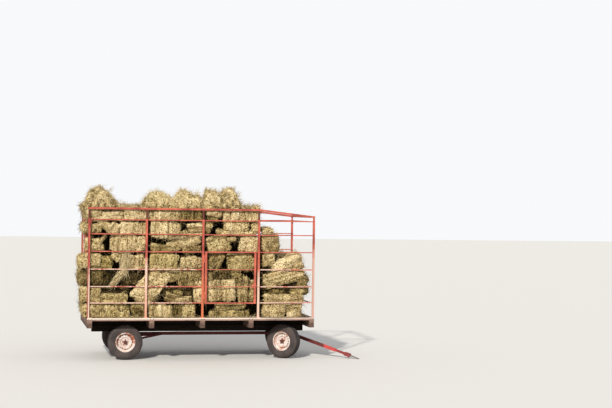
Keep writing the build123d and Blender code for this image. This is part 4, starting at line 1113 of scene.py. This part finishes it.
def makeBlocking():
    look = blockLook
    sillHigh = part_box("main_sills")[1]
    beams = looseParts("cross_beams")
    points, faces = [], []
    middle, half = sillHigh.y - look["inward"], look["thick"] / 2
    for (_, lastHigh), (nextLow, _) in zip(beams, beams[1:]):
        for side in (-middle, middle):
            base = len(points)
            points += [(x, y, z) for x in (lastHigh[0], nextLow[0]) for y in (side - half, side + half)
                       for z in (sillHigh.z, deckLow.z)]
            for face in ((0, 1, 3, 2), (4, 6, 7, 5), (0, 4, 5, 1), (2, 3, 7, 6), (0, 2, 6, 4), (1, 5, 7, 3)):
                faces.append([base + corner for corner in face])
    addPiece("sillBlocking", points, faces, "frame_timber", "wagon")
    print("blocking made")


makeBlocking()

# Fixings: bolt heads on the deck and the gear, and a valve on each wheel
fixingLook = {
    # rings of each kind from its foot to its top: radius, height; then how many sides
    "hex": (((0.0115, -0.002), (0.0115, 0.0062), (0.0098, 0.0078)), 6),
    "round": (((0.012, -0.002), (0.0115, 0.0022), (0.0085, 0.0042), (0.0035, 0.0052)), 12),
    "washer": (((0.017, -0.002), (0.017, 0.0016), (0.016, 0.0024)), 16),
    "valve": (((0.008, -0.004), (0.0075, 0.008), (0.0055, 0.018), (0.0038, 0.026), (0.0038, 0.043),
               (0.003, 0.045)), 10),
    "footIn": 0.02, "footAcross": 0.0155, "edgeApart": 0.03, "edgeDown": 0.026, "stakeIn": 0.03,
    "beamApart": (0.39, 0.45), "beamUp": 0.09, "washerThick": 0.0024, "tongueTop": (0.99, 1.05),
    "tongueSide": (1.365, 1.435), "tubeHalf": 0.032, "headHalf": 0.038,
    "valveOut": 0.037, "valveRadius": 0.18, "valveTurn": 2.3, "valveStep": 1.7,
}


def addHeads(name, heads, slotName, body, smooth=False):  # a head is its middle, its direction and its kind
    points, faces = [], []
    for centre, outward, kind in heads:
        rings, sides = fixingLook[kind]
        outward = unit(np.array(outward, dtype=float))
        side = unit(np.cross(outward, offAxis))
        around = circle(side, np.cross(outward, side), sides)
        base = len(points)
        top = base + (len(rings) - 1) * sides
        for radius, height in rings:
            points += list(np.array(centre) + around * radius + outward * height)
        faces += ringQuads(base, len(rings), sides)
        faces += [range(base, base + sides)[::-1], range(top, top + sides)]
    addPiece(name, points, faces, slotName, body, smooth=smooth)
    print(name, len(heads), "heads")


def deckHeads():
    look = fixingLook
    for low, high in looseParts("post_feet"):
        side = math.copysign(1, low[1])
        inner = min(abs(low[1]), abs(high[1])) + look["footAcross"]
        for x in (low[0] + look["footIn"], high[0] - look["footIn"]):
            yield (x, side * inner, high[2]), (0, 0, 1), "hex"
    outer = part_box("edge_boards")[1].y
    for low, high in looseParts("cross_beams"):
        for side in (-1, 1):
            for shift in (-look["edgeApart"], look["edgeApart"]):
                x = (low[0] + high[0]) / 2 + shift
                yield (x, side * outer, deckTop - look["edgeDown"]), (0, side, 0), "round"
    beamLow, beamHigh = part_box("cross_beams")
    z = beamLow.z + look["beamUp"]
    for x, way in ((beamLow.x, -1), (beamHigh.x, 1)):
        for y in (*look["beamApart"], *(-place for place in look["beamApart"])):
            yield (x, y, z), (way, 0, 0), "washer"
            yield (x + way * look["washerThick"], y, z), (way, 0, 0), "hex"
    for low, high in looseParts("bolster_stakes"):
        side = math.copysign(1, low[1])
        out = max(abs(low[1]), abs(high[1]))
        for z in (low[2] + look["stakeIn"], high[2] - look["stakeIn"]):
            yield ((low[0] + high[0]) / 2, side * out, z), (0, side, 0), "hex"


def tongueHeads():
    look = fixingLook
    hole = frame["record"]["mounts"][0]
    pin, up = np.array(joints["tongue_lift"]["pos_m"]), np.array(hole["axis"])
    along = unit(np.array(hole["pos_m"]) - pin)
    across = np.cross(up, along)
    for place in look["tongueTop"]:
        yield pin + along * place + up * look["tubeHalf"], up, "hex"
    for place in look["tongueSide"]:
        for side in (-1, 1):
            yield pin + along * place + across * side * look["headHalf"], across * side, "hex"


def makeFixings():
    look = fixingLook
    addHeads("deckBolts", list(deckHeads()), "worn_steel", "wagon")
    addHeads("tongueBolts", list(tongueHeads()), "worn_steel", "tongue")
    for number, (body, joint) in enumerate(spins.items()):
        outboard = np.array(joint["axis"], dtype=float) * (1 if "left" in body else -1)
        angle = look["valveTurn"] + number * look["valveStep"]
        radial = np.cross(upward, outboard) * math.cos(angle) + upward * math.sin(angle)
        centre = np.array(joint["pos_m"]) + outboard * look["valveOut"] + radial * look["valveRadius"]
        addHeads(titleOf(body, "Valve"), [(centre, outboard, "valve")], "tyre_rubber", body, smooth=True)


makeFixings()

# Stage: pale floor, even sky, one broad warm key light and the camera
stageLook = {"floorSize": 240.0, "floor": (0.78, 0.77, 0.75, 1), "floorBounce": (0.3, 0.29, 0.24, 1),
             "floorRough": 0.95, "sky": (0.94, 0.95, 0.97, 1), "skyLight": 0.55,
             "sunLight": 3.4, "sunSpread": 2.5, "sunColour": (1.0, 0.95, 0.86), "sunAlong": (0.84, 1.5, -1.0)}
cameraLook = {"deckRear": (-1.881, -31.545, 2.365), "right": (0.977, -0.211, 0.0133),
              "up": (-0.015, 0.0, 1.0), "lens": 84.21, "farthest": 500}


def seenRay():  # 1 where the camera sees a place, straight or in metal or glass, and 0 for the light itself
    seen = addNode("LightPath", {}, "Is Camera Ray")
    for title in ("Is Glossy Ray", "Is Transmission Ray"):
        seen = calc("MAXIMUM", seen, addNode("LightPath", {}, title))
    return seen


def makeStage():
    look = stageLook
    half = look["floorSize"] / 2
    mesh = bpy.data.meshes.new("floor")
    corners = [(-half, -half, 0), (half, -half, 0), (half, half, 0), (-half, half, 0)]
    mesh.from_pydata(corners, [], [(0, 1, 2, 3)])
    newFinish("floorFinish")
    mesh.materials.append(coat(blend(seenRay(), look["floorBounce"], look["floor"]), look["floorRough"]))
    addToScene("floor", mesh)
    world = bpy.data.worlds.new("sky")
    bpy.context.scene.world = world
    world.use_nodes = True
    making["tree"] = world.node_tree
    sockets = world.node_tree.nodes["Background"].inputs
    feed(sockets["Color"], look["sky"])
    strength = {"Value": seenRay(), "To Min": look["skyLight"], "To Max": 1.0}
    feed(sockets["Strength"], addNode("MapRange", strength))
    lamp = bpy.data.lights.new("key", "SUN")
    lamp.energy = look["sunLight"]
    lamp.angle = math.radians(look["sunSpread"])
    lamp.color = look["sunColour"]
    addToScene("key", lamp).rotation_euler = Vector(look["sunAlong"]).to_track_quat("-Z", "Y").to_euler()


def makeCamera():
    look = cameraLook
    right = Vector(look["right"]).normalized()
    back = right.cross(Vector(look["up"])).normalized()
    place = Vector(look["deckRear"]) + Vector((rearX, 0, deckTop))
    camera = addToScene("camera", bpy.data.cameras.new("camera"))
    camera.data.lens = look["lens"]
    camera.data.clip_end = look["farthest"]
    turn = Matrix((right, back.cross(right), back)).transposed().to_4x4()
    camera.matrix_world = Matrix.Translation(place) @ turn
    bpy.context.scene.camera = camera


makeStage()
makeCamera()
bpy.context.scene.view_settings.view_transform = "Standard"
print("stage made")
